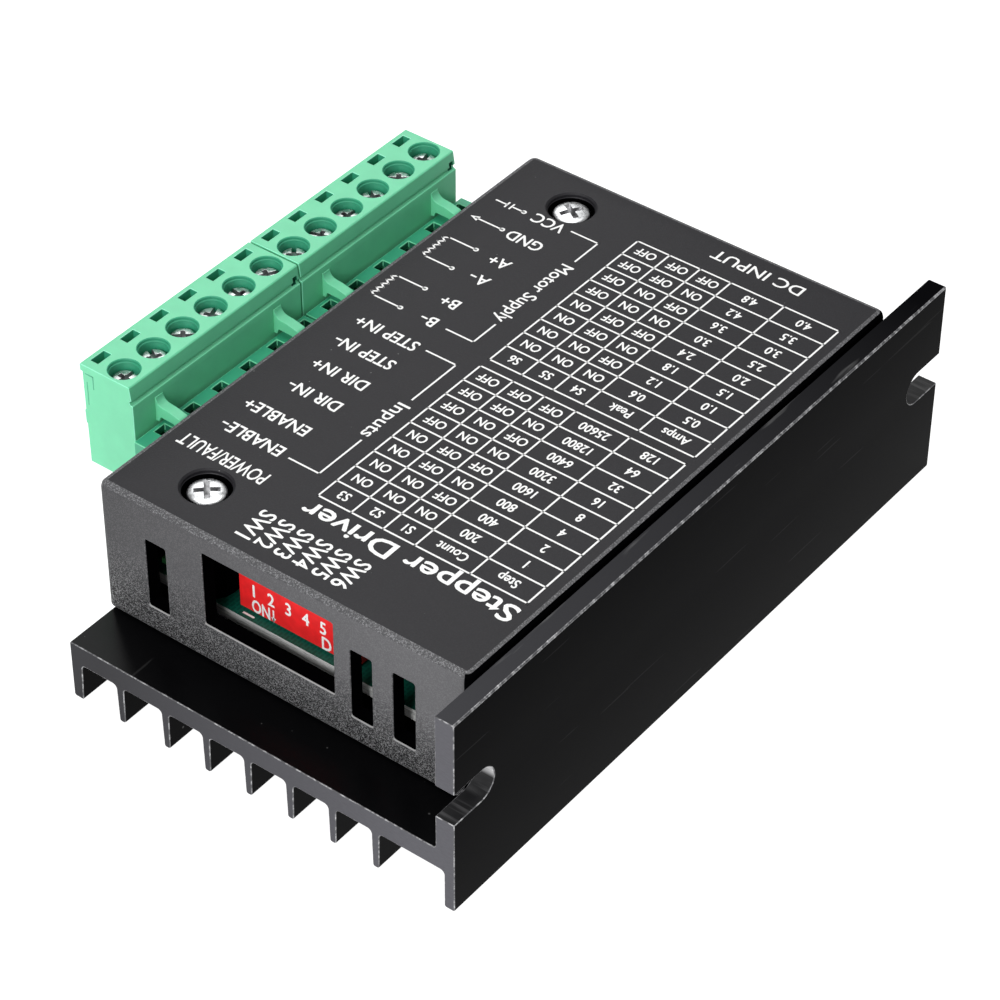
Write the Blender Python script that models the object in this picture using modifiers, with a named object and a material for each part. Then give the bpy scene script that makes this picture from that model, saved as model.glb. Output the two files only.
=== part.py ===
"""Stepper driver module: a finned heatsink with a side wall, a plastic cover, a circuit board with a
six-way DIP switch, and two pluggable six-pole terminal blocks.

Working frame, in millimetres: the heatsink's front left bottom corner is (0, 0, 0), +X runs to the
heatsink's wall, +Y runs to the rear, and +Z is up. An empty carries that frame, so that the finished
model stands on the world's floor with its box centred on the Z axis.
"""

import math

import bmesh
import bpy

MM = 0.001

# ---- driving dimensions, millimetres ----
LENGTH = 96.0
WIDTH = 56.0
WALL_HEIGHT = 28.0
PITCH = 5.08
POLES = 6
GAP = 0.3

# heatsink extrusion
BASE_TOP = 8.37
BASE_UNDER = 5.49
WALL_THICK = 2.55
LEG_THICK = 1.4
EDGE_FIN_THICK = 1.4
FIN_TIP = 0.75
FIN_ROOT = 1.0
FIN_FILLET = 0.6
FIRST_FIN_X = 7.5
SECOND_FIN_X = 14.35
FIN_PITCH = 6.13
FIN_COUNT = 6
NOTCH_WIDTH = 4.57
NOTCH_DEPTH = 7.05
NOTCH_Z = 15.57

# plastic cover
COVER_LOW = (-0.85, 7.34, BASE_TOP + GAP)
COVER_HIGH = (52.33, 88.8, 27.17)
COVER_WALL = 2.0
COVER_CORNER = 1.2
COVER_BEVEL = 0.9
WINDOW_X = (14.6, 33.5)
WINDOW_Z = (14.0, 24.6)
VENT_X = ((6.0, 9.1), (35.85, 38.9), (41.8, 44.9))
VENT_Z = (12.1, 22.1)

# circuit board and its fixings
BOARD_TOP = 13.0
BOARD_THICK = 1.6
BOARD_X = (2.0, 50.0)
BOARD_Y = (11.6, 85.6)
BOARD_TAB_X = -2.5
COVER_SCREWS = {"front": (9.65, 14.2), "rear": (10.05, 82.3)}
BOARD_SCREWS = {"front": (47.5, 14.9), "rear": (47.5, 82.1)}
SHAFT_R = 1.2
SHAFT_HOLE_R = SHAFT_R + GAP
SCREW_END = 5.8
POST_R = 3.55
RECESS_R = 2.95
RECESS_FLOOR = 24.6

# terminal blocks
PLUG_Y = 20.12
PLUG_TOP = 29.0
PLUG_BOTTOM = 14.5
PLUG_OUTER = -15.17
PLUG_BACK = -7.05
PLUG_LIP = 1.0
PLUG_LENGTH = POLES * PITCH - GAP
POLE_X = -10.3
WELL_R = 1.9
WELL_FLOOR = 25.0
HOOK_Y = (3.9, 25.2)
HOOK_WIDTH = 1.4
SCREW_TOP = 27.7
SCREW_TIP = 18.6
SCREW_SHANK_R = 1.0
SCREW_SLOT = (0.6, 0.8)
CAGE_X = (-12.75, -8.45)
CAGE_Z = (15.3, 20.3)
CAGE_HALF_Y = 1.75
CAGE_SHEET = 0.6
CAGE_TRAVEL = 2.2
ENTRY_Z = (15.4, 20.0)
ENTRY_HALF_Y = 1.7
PROBE_X = (-14.55, -13.35)
PROBE_HALF_Y = 1.15
PROBE_DEPTH = 3.0

# headers under the plugs
HEADER_X = (PLUG_BACK + 0.35, 5.3)
HEADER_Z = (BOARD_TOP + GAP, 21.8)
HEADER_WALL = 1.0
HEADER_OVERHANG = 0.45
KEY_X = (0.55, 2.0)
KEY_Y = (-0.1, 1.75)
KEY_DEPTH = 1.6
PIN_SIZE = 1.0
PIN_SOCKET_HALF = 0.9
PIN_X = (-3.5, 6.9)
PIN_END = 10.2

# DIP switch
DIP_X = (15.07, 32.37)
DIP_Y = (12.78, 18.2)
DIP_Z = (BOARD_TOP + GAP, 23.2)
DIP_WAYS = 6
DIP_PITCH = 2.54
LEVER_SLOT_Z = (18.2, 22.1)
LEVER_SLOT_HALF_X = 0.7
LEVER_HALF_X = 0.42
LEVER_PROUD = 0.6
LEVER_DEPTH = 2.2
LEVER_TRAVEL = 1.9

# components held inside
CAPACITORS = ((21.0, 75.0), (31.5, 75.0))
CAPACITOR_R = 4.0
CAPACITOR_HEIGHT = 11.2
OPTOCOUPLERS = ((14.5, 29.5), (14.5, 37.0), (14.5, 44.5))
OPTOCOUPLER_SIZE = (6.4, 4.6, 3.4)
SENSE_RESISTORS = ((24.0, 60.0), (34.0, 60.0))
SENSE_RESISTOR_SIZE = (6.3, 3.2, 0.6)
DRIVER_CENTRE = (30.0, 46.0)
PAD_THICK = 1.0

BLOCKS = ("signal", "power")


# ---- scene set-up ----

def clear_scene():
    for obj in list(bpy.data.objects):
        bpy.data.objects.remove(obj, do_unlink=True)
    for collection in list(bpy.data.collections):
        bpy.data.collections.remove(collection)


def new_collection(name):
    collection = bpy.data.collections.new(name)
    bpy.context.scene.collection.children.link(collection)
    return collection


clear_scene()
PARTS = new_collection("stepper_driver_module")
CUTTERS = new_collection("cutters")
FRAME = bpy.data.objects.new("heatsink_corner", None)
PARTS.objects.link(FRAME)
FRAME.location = (-(PLUG_OUTER + WIDTH) / 2 * MM, -LENGTH / 2 * MM, 0)


# ---- materials ----

def material(name, colour, roughness, metallic=0.0):
    made = bpy.data.materials.new(name)
    made.use_nodes = True
    shader = made.node_tree.nodes["Principled BSDF"]
    shader.inputs["Base Color"].default_value = (*colour, 1)
    shader.inputs["Roughness"].default_value = roughness
    shader.inputs["Metallic"].default_value = metallic
    return made


ANODISED = material("black_anodised_aluminium", (0.016, 0.016, 0.018), 0.4, 0.6)
BLACK_PLASTIC = material("textured_black_plastic", (0.045, 0.045, 0.05), 0.6)
GREEN_PLASTIC = material("green_terminal_plastic", (0.1, 0.55, 0.3), 0.4)
ZINC = material("zinc_plated_steel", (0.75, 0.75, 0.73), 0.3, 1.0)
BRASS = material("nickelled_brass", (0.7, 0.65, 0.5), 0.35, 1.0)
BOARD_GREEN = material("green_solder_mask", (0.01, 0.14, 0.08), 0.35)
CHIP_BLACK = material("chip_black", (0.02, 0.02, 0.02), 0.5)
PAD_GREY = material("thermal_pad_grey", (0.35, 0.38, 0.42), 0.8)
CAN_SILVER = material("capacitor_can", (0.7, 0.7, 0.72), 0.3, 0.9)
FERRITE = material("ferrite_grey", (0.08, 0.08, 0.085), 0.7)
DIP_RED = material("dip_red", (0.75, 0.02, 0.02), 0.4)
LEVER_WHITE = material("lever_white", (0.85, 0.85, 0.82), 0.4)
LED_GREEN = material("led_green_lens", (0.2, 0.8, 0.3), 0.2)
LED_RED = material("led_red_lens", (0.85, 0.15, 0.1), 0.2)


# ---- modelling helpers; every length is in millimetres of the working frame ----

def add_object(name, data, location, paint=None):
    """Link a new object to the parts; a piece without paint is a cutter or a piece to be joined."""
    obj = bpy.data.objects.new(name, data)
    (PARTS if paint else CUTTERS).objects.link(obj)
    obj.parent = FRAME
    obj.location = [value * MM for value in location]
    if paint:
        obj.data.materials.append(paint)
    else:
        obj.hide_render = True
        obj.display_type = "WIRE"
    return obj


def boxes(name, corners, paint=None):
    """One object holding a box for each (low, high) pair of corners."""
    shape = bmesh.new()
    first_low, first_high = corners[0]
    middle = [(a + b) / 2 for a, b in zip(first_low, first_high)]
    for low, high in corners:
        cube = bmesh.ops.create_cube(shape, size=1.0)["verts"]
        bmesh.ops.scale(shape, verts=cube, vec=[(b - a) * MM for a, b in zip(low, high)])
        offset = [((a + b) / 2 - m) * MM for a, b, m in zip(low, high, middle)]
        bmesh.ops.translate(shape, verts=cube, vec=offset)
    mesh = bpy.data.meshes.new(name)
    shape.to_mesh(mesh)
    shape.free()
    return add_object(name, mesh, middle, paint)


def box(name, low, high, paint=None):
    return boxes(name, [(low, high)], paint)


def cylinders(name, centres, radius, z_low, z_high, paint=None, segments=20):
    """One object holding an upright cylinder at each (x, y) centre."""
    shape = bmesh.new()
    origin = (*centres[0], (z_low + z_high) / 2)
    for x, y in centres:
        drum = bmesh.ops.create_cone(
            shape, cap_ends=True, segments=segments, radius1=radius * MM, radius2=radius * MM,
            depth=(z_high - z_low) * MM)["verts"]
        bmesh.ops.translate(shape, verts=drum, vec=((x - origin[0]) * MM, (y - origin[1]) * MM, 0))
    mesh = bpy.data.meshes.new(name)
    shape.to_mesh(mesh)
    shape.free()
    return add_object(name, mesh, origin, paint)


def outline_solid(name, points, start, depth, along="Y", paint=None):
    """A closed outline pushed along +Y (points are x, z) or up along +Z (points are x, y)."""
    curve = bpy.data.curves.new(name, "CURVE")
    curve.dimensions = "2D"
    curve.fill_mode = "BOTH"
    curve.extrude = depth / 2 * MM
    spline = curve.splines.new("POLY")
    spline.points.add(len(points) - 1)
    for point, (a, b) in zip(spline.points, points):
        point.co = (a * MM, b * MM, 0, 1)
    spline.use_cyclic_u = True
    middle = start + depth / 2
    drawn = add_object(name + "_outline", curve, (0, middle, 0) if along == "Y" else (0, 0, middle))
    if along == "Y":
        drawn.rotation_euler.x = math.pi / 2
    bpy.context.view_layer.update()
    evaluated = drawn.evaluated_get(bpy.context.evaluated_depsgraph_get())
    mesh = bpy.data.meshes.new_from_object(evaluated)
    shape = bmesh.new()
    shape.from_mesh(mesh)
    bmesh.ops.remove_doubles(shape, verts=shape.verts, dist=1e-6)
    bmesh.ops.dissolve_limit(shape, angle_limit=0.001, verts=shape.verts, edges=shape.edges)
    bmesh.ops.recalc_face_normals(shape, faces=shape.faces)
    shape.to_mesh(mesh)
    shape.free()
    solid = add_object(name, mesh, (0, 0, 0), paint)
    solid.matrix_local = drawn.matrix_local
    bpy.data.objects.remove(drawn, do_unlink=True)
    return solid


def turned(name, profile, x, y, paint, steps=20):
    """A solid of revolution about the vertical through (x, y); the (radius, z) profile runs down."""
    mesh = bpy.data.meshes.new(name)
    shape = bmesh.new()
    base = profile[0][1]
    points = [shape.verts.new((radius * MM, 0, (z - base) * MM)) for radius, z in profile]
    for upper, lower in zip(points, points[1:]):
        shape.edges.new((upper, lower))
    shape.to_mesh(mesh)
    shape.free()
    obj = add_object(name, mesh, (x, y, base), paint)
    screw = obj.modifiers.new("turn", "SCREW")
    screw.steps = steps
    screw.render_steps = steps
    screw.use_merge_vertices = True
    screw.merge_threshold = 0.00001
    return obj


def boolean(target, tool, operation, solver="EXACT"):
    step = target.modifiers.new(tool.name, "BOOLEAN")
    step.operation = operation
    step.solver = solver
    step.object = tool


def cut(target, tool, solver="EXACT"):
    boolean(target, tool, "DIFFERENCE", solver)


def join(target, tool):
    boolean(target, tool, "UNION")


def arc(centre, radius, start, end, count):
    """Points on a round stretch, from one angle in degrees to another."""
    angles = [math.radians(start + (end - start) * i / (count - 1)) for i in range(count)]
    return [(centre[0] + radius * math.cos(a), centre[1] + radius * math.sin(a)) for a in angles]


def pole_positions(first_y):
    return [first_y + PITCH * (pole + 0.5) for pole in range(POLES)]


# ---- heatsink ----

def fin_outline(x):
    """One fin hanging under the base, right side first, with filleted roots."""
    root = BASE_UNDER - FIN_FILLET
    right = [(x + FIN_ROOT / 2 + FIN_FILLET, BASE_UNDER), (x + FIN_ROOT / 2 + 0.18, root + 0.42),
             (x + FIN_ROOT / 2, root), (x + FIN_TIP / 2, 0.2), (x + FIN_TIP / 2 - 0.2, 0)]
    left = [(2 * x - a, b) for a, b in reversed(right)]
    return right + left


def heatsink_outline():
    wall_x = WIDTH - WALL_THICK
    leg_x = WIDTH - LEG_THICK
    points = [(0, BASE_TOP), (0, 0.5), (0.35, 0), (EDGE_FIN_THICK - 0.2, 0), (EDGE_FIN_THICK, 0.3),
              (EDGE_FIN_THICK + 0.25, BASE_UNDER - FIN_FILLET),
              (EDGE_FIN_THICK + 0.25 + FIN_FILLET, BASE_UNDER)]
    fins = [FIRST_FIN_X] + [SECOND_FIN_X + FIN_PITCH * i for i in range(FIN_COUNT)]
    for x in fins:
        points += list(reversed(fin_outline(x)))
    points += [(leg_x - FIN_FILLET, BASE_UNDER), (leg_x, BASE_UNDER - FIN_FILLET), (leg_x, 0),
               (WIDTH - 0.2, 0), (WIDTH, 0.2), (WIDTH, WALL_HEIGHT - 0.2), (WIDTH - 0.2, WALL_HEIGHT),
               (wall_x + 0.2, WALL_HEIGHT), (wall_x, WALL_HEIGHT - 0.2), (wall_x, BASE_TOP + 0.5),
               (wall_x - 0.15, BASE_TOP + 0.15), (wall_x - 0.5, BASE_TOP)]
    return points


def notch_cutter(name, mouth_y, inward):
    """A slot open at one end of the wall, round at its inner end; it cuts through along X."""
    radius = NOTCH_WIDTH / 2
    tip = mouth_y + inward * (NOTCH_DEPTH - radius)
    round_end = arc((tip, NOTCH_Z), radius, -90, 90, 9)
    points = [(mouth_y - inward, NOTCH_Z - radius)]
    points += [(tip + inward * (y - tip), z) for y, z in round_end]
    points += [(mouth_y - inward, NOTCH_Z + radius)]
    slot = outline_solid(name, points, 0, 2 * WALL_THICK)
    slot.rotation_euler = (math.pi / 2, 0, math.pi / 2)
    slot.location = ((WIDTH - WALL_THICK / 2) * MM, 0, 0)
    return slot


def make_heatsink():
    """The extrusion; its end faces' long row of fins in line needs the MANIFOLD solver."""
    heatsink = outline_solid("heatsink", heatsink_outline(), 0, LENGTH, paint=ANODISED)
    cut(heatsink, notch_cutter("notch_front", 0, 1), "MANIFOLD")
    cut(heatsink, notch_cutter("notch_rear", LENGTH, -1), "MANIFOLD")
    holes = [*COVER_SCREWS.values(), *BOARD_SCREWS.values()]
    bores = cylinders("tapped_holes", holes, SHAFT_HOLE_R, BASE_UNDER - 1, BASE_TOP + 1)
    cut(heatsink, bores, "MANIFOLD")


# ---- cover ----

def rounded_shell_box(name, paint):
    """The cover's outside: upright corners rounded, top edges bevelled."""
    shell = box(name, COVER_LOW, COVER_HIGH, paint)
    shape = bmesh.new()
    shape.from_mesh(shell.data)
    upright = [e for e in shape.edges if abs(e.verts[0].co.z - e.verts[1].co.z) > MM]
    bmesh.ops.bevel(shape, geom=upright, offset=COVER_CORNER * MM, segments=3, profile=0.5,
                    affect="EDGES")
    top = max(v.co.z for v in shape.verts)
    rim = [e for e in shape.edges if all(abs(v.co.z - top) < 1e-7 for v in e.verts)]
    bmesh.ops.bevel(shape, geom=rim, offset=COVER_BEVEL * MM, segments=2, profile=0.5,
                    affect="EDGES")
    shape.to_mesh(shell.data)
    shape.free()
    return shell


def vent_boxes(y_low, y_high):
    return [((x0, y_low, VENT_Z[0]), (x1, y_high, VENT_Z[1])) for x0, x1 in VENT_X]


def make_cover():
    cover = rounded_shell_box("cover", BLACK_PLASTIC)
    inside_low = [COVER_LOW[0] + COVER_WALL, COVER_LOW[1] + COVER_WALL, COVER_LOW[2] - 1]
    inside_high = [value - COVER_WALL for value in COVER_HIGH]
    cut(cover, box("cover_inside", inside_low, inside_high))
    posts = list(COVER_SCREWS.values())
    join(cover, cylinders("cover_posts", posts, POST_R, BOARD_TOP + GAP, inside_high[2] + 0.5))
    cut(cover, cylinders("screw_recesses", posts, RECESS_R, RECESS_FLOOR, COVER_HIGH[2] + 1))
    cut(cover, cylinders("post_bores", posts, SHAFT_HOLE_R, BOARD_TOP - 1, RECESS_FLOOR + 0.5))
    front = COVER_LOW[1]
    rear = COVER_HIGH[1]
    cut(cover, box("switch_window", (WINDOW_X[0], front - 1, WINDOW_Z[0]),
                   (WINDOW_X[1], front + COVER_WALL + 1, WINDOW_Z[1])))
    cut(cover, boxes("vents_front", vent_boxes(front - 1, front + COVER_WALL + 0.5)))
    cut(cover, boxes("vents_rear", vent_boxes(rear - COVER_WALL - 0.5, rear + 1)))
    span = 2 * POLES * PITCH
    cut(cover, box("header_opening", (COVER_LOW[0] - 1, PLUG_Y - 0.8, COVER_LOW[2] - 1),
                   (COVER_LOW[0] + COVER_WALL + 0.4, PLUG_Y + span + 0.8, HEADER_Z[1] + 0.7)))


# ---- screws, spacers and board ----

def pan_head_screw(name, x, y, under_head, head_r, head_height):
    """A pan-head screw with a cross recess, standing in its hole down to the base."""
    top = under_head + head_height
    profile = [(0, top), (head_r * 0.45, top - 0.03), (head_r * 0.85, top - 0.3),
               (head_r, top - 0.8), (head_r, under_head), (SHAFT_R, under_head),
               (SHAFT_R, SCREW_END + 0.4), (SHAFT_R - 0.4, SCREW_END), (0, SCREW_END)]
    screw = turned(name, profile, x, y, ZINC)
    for arm_x, arm_y in ((1.35, 0.35), (0.35, 1.35)):
        arm = box(f"{name}_recess_{arm_x}", (x - arm_x, y - arm_y, top - 0.9),
                  (x + arm_x, y + arm_y, top + 0.5))
        cut(screw, arm)


def make_fixings():
    for place, (x, y) in COVER_SCREWS.items():
        pan_head_screw(f"cover_screw_{place}", x, y, RECESS_FLOOR + GAP, 2.45, 1.85)
    for place, (x, y) in BOARD_SCREWS.items():
        pan_head_screw(f"board_screw_{place}", x, y, BOARD_TOP + GAP, 2.3, 1.7)
    spots = [*COVER_SCREWS.values(), *BOARD_SCREWS.values()]
    for number, (x, y) in enumerate(spots, start=1):
        low = BASE_TOP + GAP
        high = BOARD_TOP - BOARD_THICK - GAP
        spacer = cylinders(f"spacer_{number}", [(x, y)], 2.5, low, high, ZINC, segments=24)
        cut(spacer, cylinders(f"spacer_bore_{number}", [(x, y)], SHAFT_HOLE_R, low - 1, high + 1))


def make_board():
    x0, x1 = BOARD_X
    y0, y1 = BOARD_Y
    tab0 = PLUG_Y - HEADER_OVERHANG
    tab1 = PLUG_Y + 2 * POLES * PITCH + HEADER_OVERHANG
    outline = [(x0, y0), (x1, y0), (x1, y1), (x0, y1), (x0, tab1), (BOARD_TAB_X, tab1),
               (BOARD_TAB_X, tab0), (x0, tab0)]
    board = outline_solid("circuit_board", outline, BOARD_TOP - BOARD_THICK, BOARD_THICK, "Z",
                          BOARD_GREEN)
    spots = [*COVER_SCREWS.values(), *BOARD_SCREWS.values()]
    low = BOARD_TOP - BOARD_THICK - 1
    cut(board, cylinders("board_screw_holes", spots, SHAFT_HOLE_R, low, BOARD_TOP + 1))
    pins = [(PIN_X[1] - PIN_SIZE / 2, y) for y in pole_positions(PLUG_Y) + pole_positions(
        PLUG_Y + POLES * PITCH)]
    cut(board, cylinders("board_pin_holes", pins, 1.05, low, BOARD_TOP + 1, segments=12))


# ---- components on the board ----

def component(name, centre, size, paint, z_low=BOARD_TOP + GAP):
    """A rectangular component of (length, width, height) standing at z_low."""
    low = (centre[0] - size[0] / 2, centre[1] - size[1] / 2, z_low)
    high = (centre[0] + size[0] / 2, centre[1] + size[1] / 2, z_low + size[2])
    return box(name, low, high, paint)


def make_capacitors():
    """Two electrolytic cans, each with the crimped groove above its base."""
    seat = BOARD_TOP + GAP
    rim = seat + CAPACITOR_HEIGHT
    groove_r = CAPACITOR_R - 0.25
    profile = [(0, rim), (CAPACITOR_R - 0.4, rim), (CAPACITOR_R, rim - 0.4), (CAPACITOR_R, seat + 1.9),
               (groove_r, seat + 1.6), (groove_r, seat + 1.3), (CAPACITOR_R, seat + 1.0),
               (CAPACITOR_R, seat), (0, seat)]
    for number, (x, y) in enumerate(CAPACITORS, start=1):
        turned(f"capacitor_{number}", profile, x, y, CAN_SILVER, steps=24)


def make_components():
    for number, centre in enumerate(OPTOCOUPLERS, start=1):
        component(f"optocoupler_{number}", centre, OPTOCOUPLER_SIZE, CHIP_BLACK)
    for number, centre in enumerate(SENSE_RESISTORS, start=1):
        component(f"sense_resistor_{number}", centre, SENSE_RESISTOR_SIZE, CHIP_BLACK)
    component("voltage_regulator", (15.0, 60.0), (6.6, 6.1, 2.3), CHIP_BLACK)
    component("inductor", (42.0, 72.0), (7.3, 7.3, 4.2), FERRITE)
    for name, y, paint in (("led_power", 13.4, LED_GREEN), ("led_alarm", 16.4, LED_RED)):
        component(name, (4.2, y), (2.0, 1.3, 0.8), paint)
    pad_low = BASE_TOP + GAP
    component("thermal_pad", DRIVER_CENTRE, (20.0, 16.0, PAD_THICK), PAD_GREY, pad_low)
    component("driver_chip", DRIVER_CENTRE, (12.4, 8.0, 0.9), CHIP_BLACK, pad_low + PAD_THICK + GAP)


# ---- DIP switch ----

def lever_xs():
    middle = sum(DIP_X) / 2
    return [middle + DIP_PITCH * (way - (DIP_WAYS - 1) / 2) for way in range(DIP_WAYS)]


def make_dip_switch():
    body = box("dip_switch_body", (DIP_X[0], DIP_Y[0], DIP_Z[0]), (DIP_X[1], DIP_Y[1], DIP_Z[1]),
               DIP_RED)
    half = LEVER_SLOT_HALF_X
    back = DIP_Y[0] + LEVER_DEPTH
    slots = [((x - half, DIP_Y[0] - 1, LEVER_SLOT_Z[0]), (x + half, back + GAP, LEVER_SLOT_Z[1]))
             for x in lever_xs()]
    cut(body, boxes("lever_slots", slots))
    top = LEVER_SLOT_Z[1] - GAP
    height = LEVER_SLOT_Z[1] - LEVER_SLOT_Z[0] - 2 * GAP - LEVER_TRAVEL
    for number, x in enumerate(lever_xs(), start=1):
        box(f"dip_lever_{number}", (x - LEVER_HALF_X, DIP_Y[0] - LEVER_PROUD, top - height),
            (x + LEVER_HALF_X, back, top), LEVER_WHITE)


# ---- headers soldered to the board ----

def make_header(block, first_y):
    """A shrouded header, open towards -X, with its bent pins joined to it."""
    y0 = first_y - HEADER_OVERHANG if block == "signal" else first_y + GAP / 2
    y1 = first_y + POLES * PITCH + (HEADER_OVERHANG if block == "power" else -GAP / 2)
    header = box(f"header_{block}", (HEADER_X[0], y0, HEADER_Z[0]), (HEADER_X[1], y1, HEADER_Z[1]),
                 GREEN_PLASTIC)
    pocket_low = (HEADER_X[0] - 1, y0 + HEADER_WALL, HEADER_Z[0] + HEADER_WALL)
    pocket_high = (HEADER_X[1] - 2.9, y1 - HEADER_WALL, HEADER_Z[1] - HEADER_WALL)
    cut(header, box(f"header_pocket_{block}", pocket_low, pocket_high))
    poles = pole_positions(first_y)
    keys = [((HEADER_X[0] + KEY_X[0], y + KEY_Y[0], HEADER_Z[1] - HEADER_WALL - 0.5),
             (HEADER_X[0] + KEY_X[1], y + KEY_Y[1], HEADER_Z[1] + 1)) for y in poles]
    cut(header, boxes(f"header_keys_{block}", keys))
    half = PIN_SIZE / 2
    middle = sum(HEADER_Z) / 2
    arms = [((PIN_X[0], y - half, middle - half), (PIN_X[1], y + half, middle + half))
            for y in poles]
    legs = [((PIN_X[1] - PIN_SIZE, y - half, PIN_END), (PIN_X[1], y + half, middle)) for y in poles]
    join(header, boxes(f"pin_arms_{block}", arms))
    join(header, boxes(f"pin_legs_{block}", legs))


# ---- pluggable terminal blocks ----

def plug_outline():
    """Section of the wire and screw part, seen from the front end."""
    lip = PLUG_TOP - PLUG_LIP
    band = PLUG_TOP - 2.6
    return [(PLUG_OUTER, lip), (PLUG_OUTER + 0.37, lip), (PLUG_OUTER + 0.4, 22.3),
            (PLUG_OUTER + 0.55, PLUG_BOTTOM), (PLUG_BACK, PLUG_BOTTOM), (PLUG_BACK, band),
            (PLUG_BACK - 0.35, band), (PLUG_BACK - 0.35, PLUG_TOP), (PLUG_OUTER, PLUG_TOP)]


def hook_outline():
    """A latch hook: a sloping arm from the plug's back, over the header's top, ending in a barb."""
    under = HEADER_Z[1] + GAP
    root = PLUG_BACK - 0.5
    sweep = arc((PLUG_BACK + 1.2, 25.5), 1.1, 180, 260, 5)
    return [(root, 25.5), *sweep, (-4.9, 24.25), (-3.5, 23.95), (-2.9, 23.5), (-2.7, under),
            (-3.6, under), (-4.3, under + 0.7), (-6.4, under + 0.75), (-6.6, under),
            (root, under)]


def make_plug(block, first_y):
    """The wire part, its nose in the header, two hooks, and each pole's well, cage and entry."""
    y0 = first_y + GAP / 2
    plug = outline_solid(f"plug_{block}", plug_outline(), y0, PLUG_LENGTH, paint=GREEN_PLASTIC)
    end_wall = HEADER_WALL + GAP + 0.1
    nose_low = (PLUG_BACK - 1, y0 + end_wall, HEADER_Z[0] + HEADER_WALL + GAP)
    nose_high = (HEADER_X[1] - 4.1, y0 + PLUG_LENGTH - end_wall, HEADER_Z[1] - HEADER_WALL - GAP)
    join(plug, box(f"plug_nose_{block}", nose_low, nose_high))
    grooves = [((HEADER_X[0] + KEY_X[0] - GAP, y + KEY_Y[0], nose_high[2] - KEY_DEPTH),
                (nose_high[0] + 1, y + KEY_Y[1], nose_high[2] + 1)) for y in pole_positions(first_y)]
    cut(plug, boxes(f"key_grooves_{block}", grooves))
    for number, offset in enumerate(HOOK_Y, start=1):
        join(plug, outline_solid(f"hook_{block}_{number}", hook_outline(), first_y + offset,
                                 HOOK_WIDTH))
    poles = pole_positions(first_y)
    centres = [(POLE_X, y) for y in poles]
    cut(plug, cylinders(f"wells_{block}", centres, WELL_R, WELL_FLOOR, PLUG_TOP + 1, segments=24))
    cage_space_top = CAGE_Z[1] + CAGE_TRAVEL + GAP
    half = CAGE_HALF_Y + GAP
    cages = [((CAGE_X[0] - GAP, y - half, CAGE_Z[0] - GAP), (CAGE_X[1] + GAP, y + half, cage_space_top))
             for y in poles]
    cut(plug, boxes(f"cage_spaces_{block}", cages))
    cut(plug, cylinders(f"shank_bores_{block}", centres, SCREW_SHANK_R + GAP, cage_space_top - 0.4,
                        WELL_FLOOR + 0.5, segments=16))
    entries = [((PLUG_OUTER - 1, y - ENTRY_HALF_Y, ENTRY_Z[0]), (CAGE_X[0], y + ENTRY_HALF_Y, ENTRY_Z[1]))
               for y in poles]
    cut(plug, boxes(f"wire_entries_{block}", entries))
    probes = [((PROBE_X[0], y - PROBE_HALF_Y, PLUG_TOP - PROBE_DEPTH),
               (PROBE_X[1], y + PROBE_HALF_Y, PLUG_TOP + 1)) for y in poles]
    cut(plug, boxes(f"probe_slots_{block}", probes))
    middle = sum(HEADER_Z) / 2
    reach = PIN_SOCKET_HALF
    sockets = [((PIN_X[0] - 0.6, y - reach, middle - reach), (nose_high[0] + 1, y + reach, middle + reach))
               for y in poles]
    cut(plug, boxes(f"pin_sockets_{block}", sockets))


def make_terminal(number, y):
    """One pole's captive screw and the cage that it lifts."""
    head_low = WELL_FLOOR + GAP
    head_r = WELL_R - GAP
    profile = [(0, SCREW_TOP), (head_r - 0.15, SCREW_TOP), (head_r, SCREW_TOP - 0.15),
               (head_r, head_low), (SCREW_SHANK_R, head_low), (SCREW_SHANK_R, SCREW_TIP),
               (0, SCREW_TIP)]
    screw = turned(f"terminal_screw_{number}", profile, POLE_X, y, ZINC, steps=16)
    slot_width, slot_depth = SCREW_SLOT
    reach = WELL_R + 0.1
    cut(screw, box(f"screw_slot_{number}", (POLE_X - reach, y - slot_width / 2, SCREW_TOP - slot_depth),
                   (POLE_X + reach, y + slot_width / 2, SCREW_TOP + 0.5)))
    low, high = CAGE_Z
    cage = box(f"wire_clamp_{number}", (CAGE_X[0], y - CAGE_HALF_Y, low),
               (CAGE_X[1], y + CAGE_HALF_Y, high), BRASS)
    half = CAGE_HALF_Y - CAGE_SHEET
    cut(cage, box(f"clamp_window_{number}", (CAGE_X[0] - 1, y - half, low + CAGE_SHEET),
                  (CAGE_X[1] + 1, y + half, high - CAGE_SHEET)))
    cut(cage, cylinders(f"clamp_bore_{number}", [(POLE_X, y)], SCREW_SHANK_R + GAP, high - 1, high + 1,
                        segments=12))


def make_terminal_blocks():
    for index, block in enumerate(BLOCKS):
        first_y = PLUG_Y + index * POLES * PITCH
        make_header(block, first_y)
        make_plug(block, first_y)
        for pole, y in enumerate(pole_positions(first_y), start=1):
            make_terminal(index * POLES + pole, y)


make_heatsink()
make_cover()
make_fixings()
make_board()
make_capacitors()
make_components()
make_dip_switch()
make_terminal_blocks()
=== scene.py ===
"""Looks of the stepper driver module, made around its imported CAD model.

Shapes are worked out in millimetres of the module's own frame: the heatsink's front left bottom
corner is (0, 0, 0), +X runs to its wall, +Y to the rear, +Z up. finish_piece() takes them to metres.
"""
from math import atan2, cos, pi, radians, sin, tan

import bmesh
import bpy
from mathutils import Matrix, Vector


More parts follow.
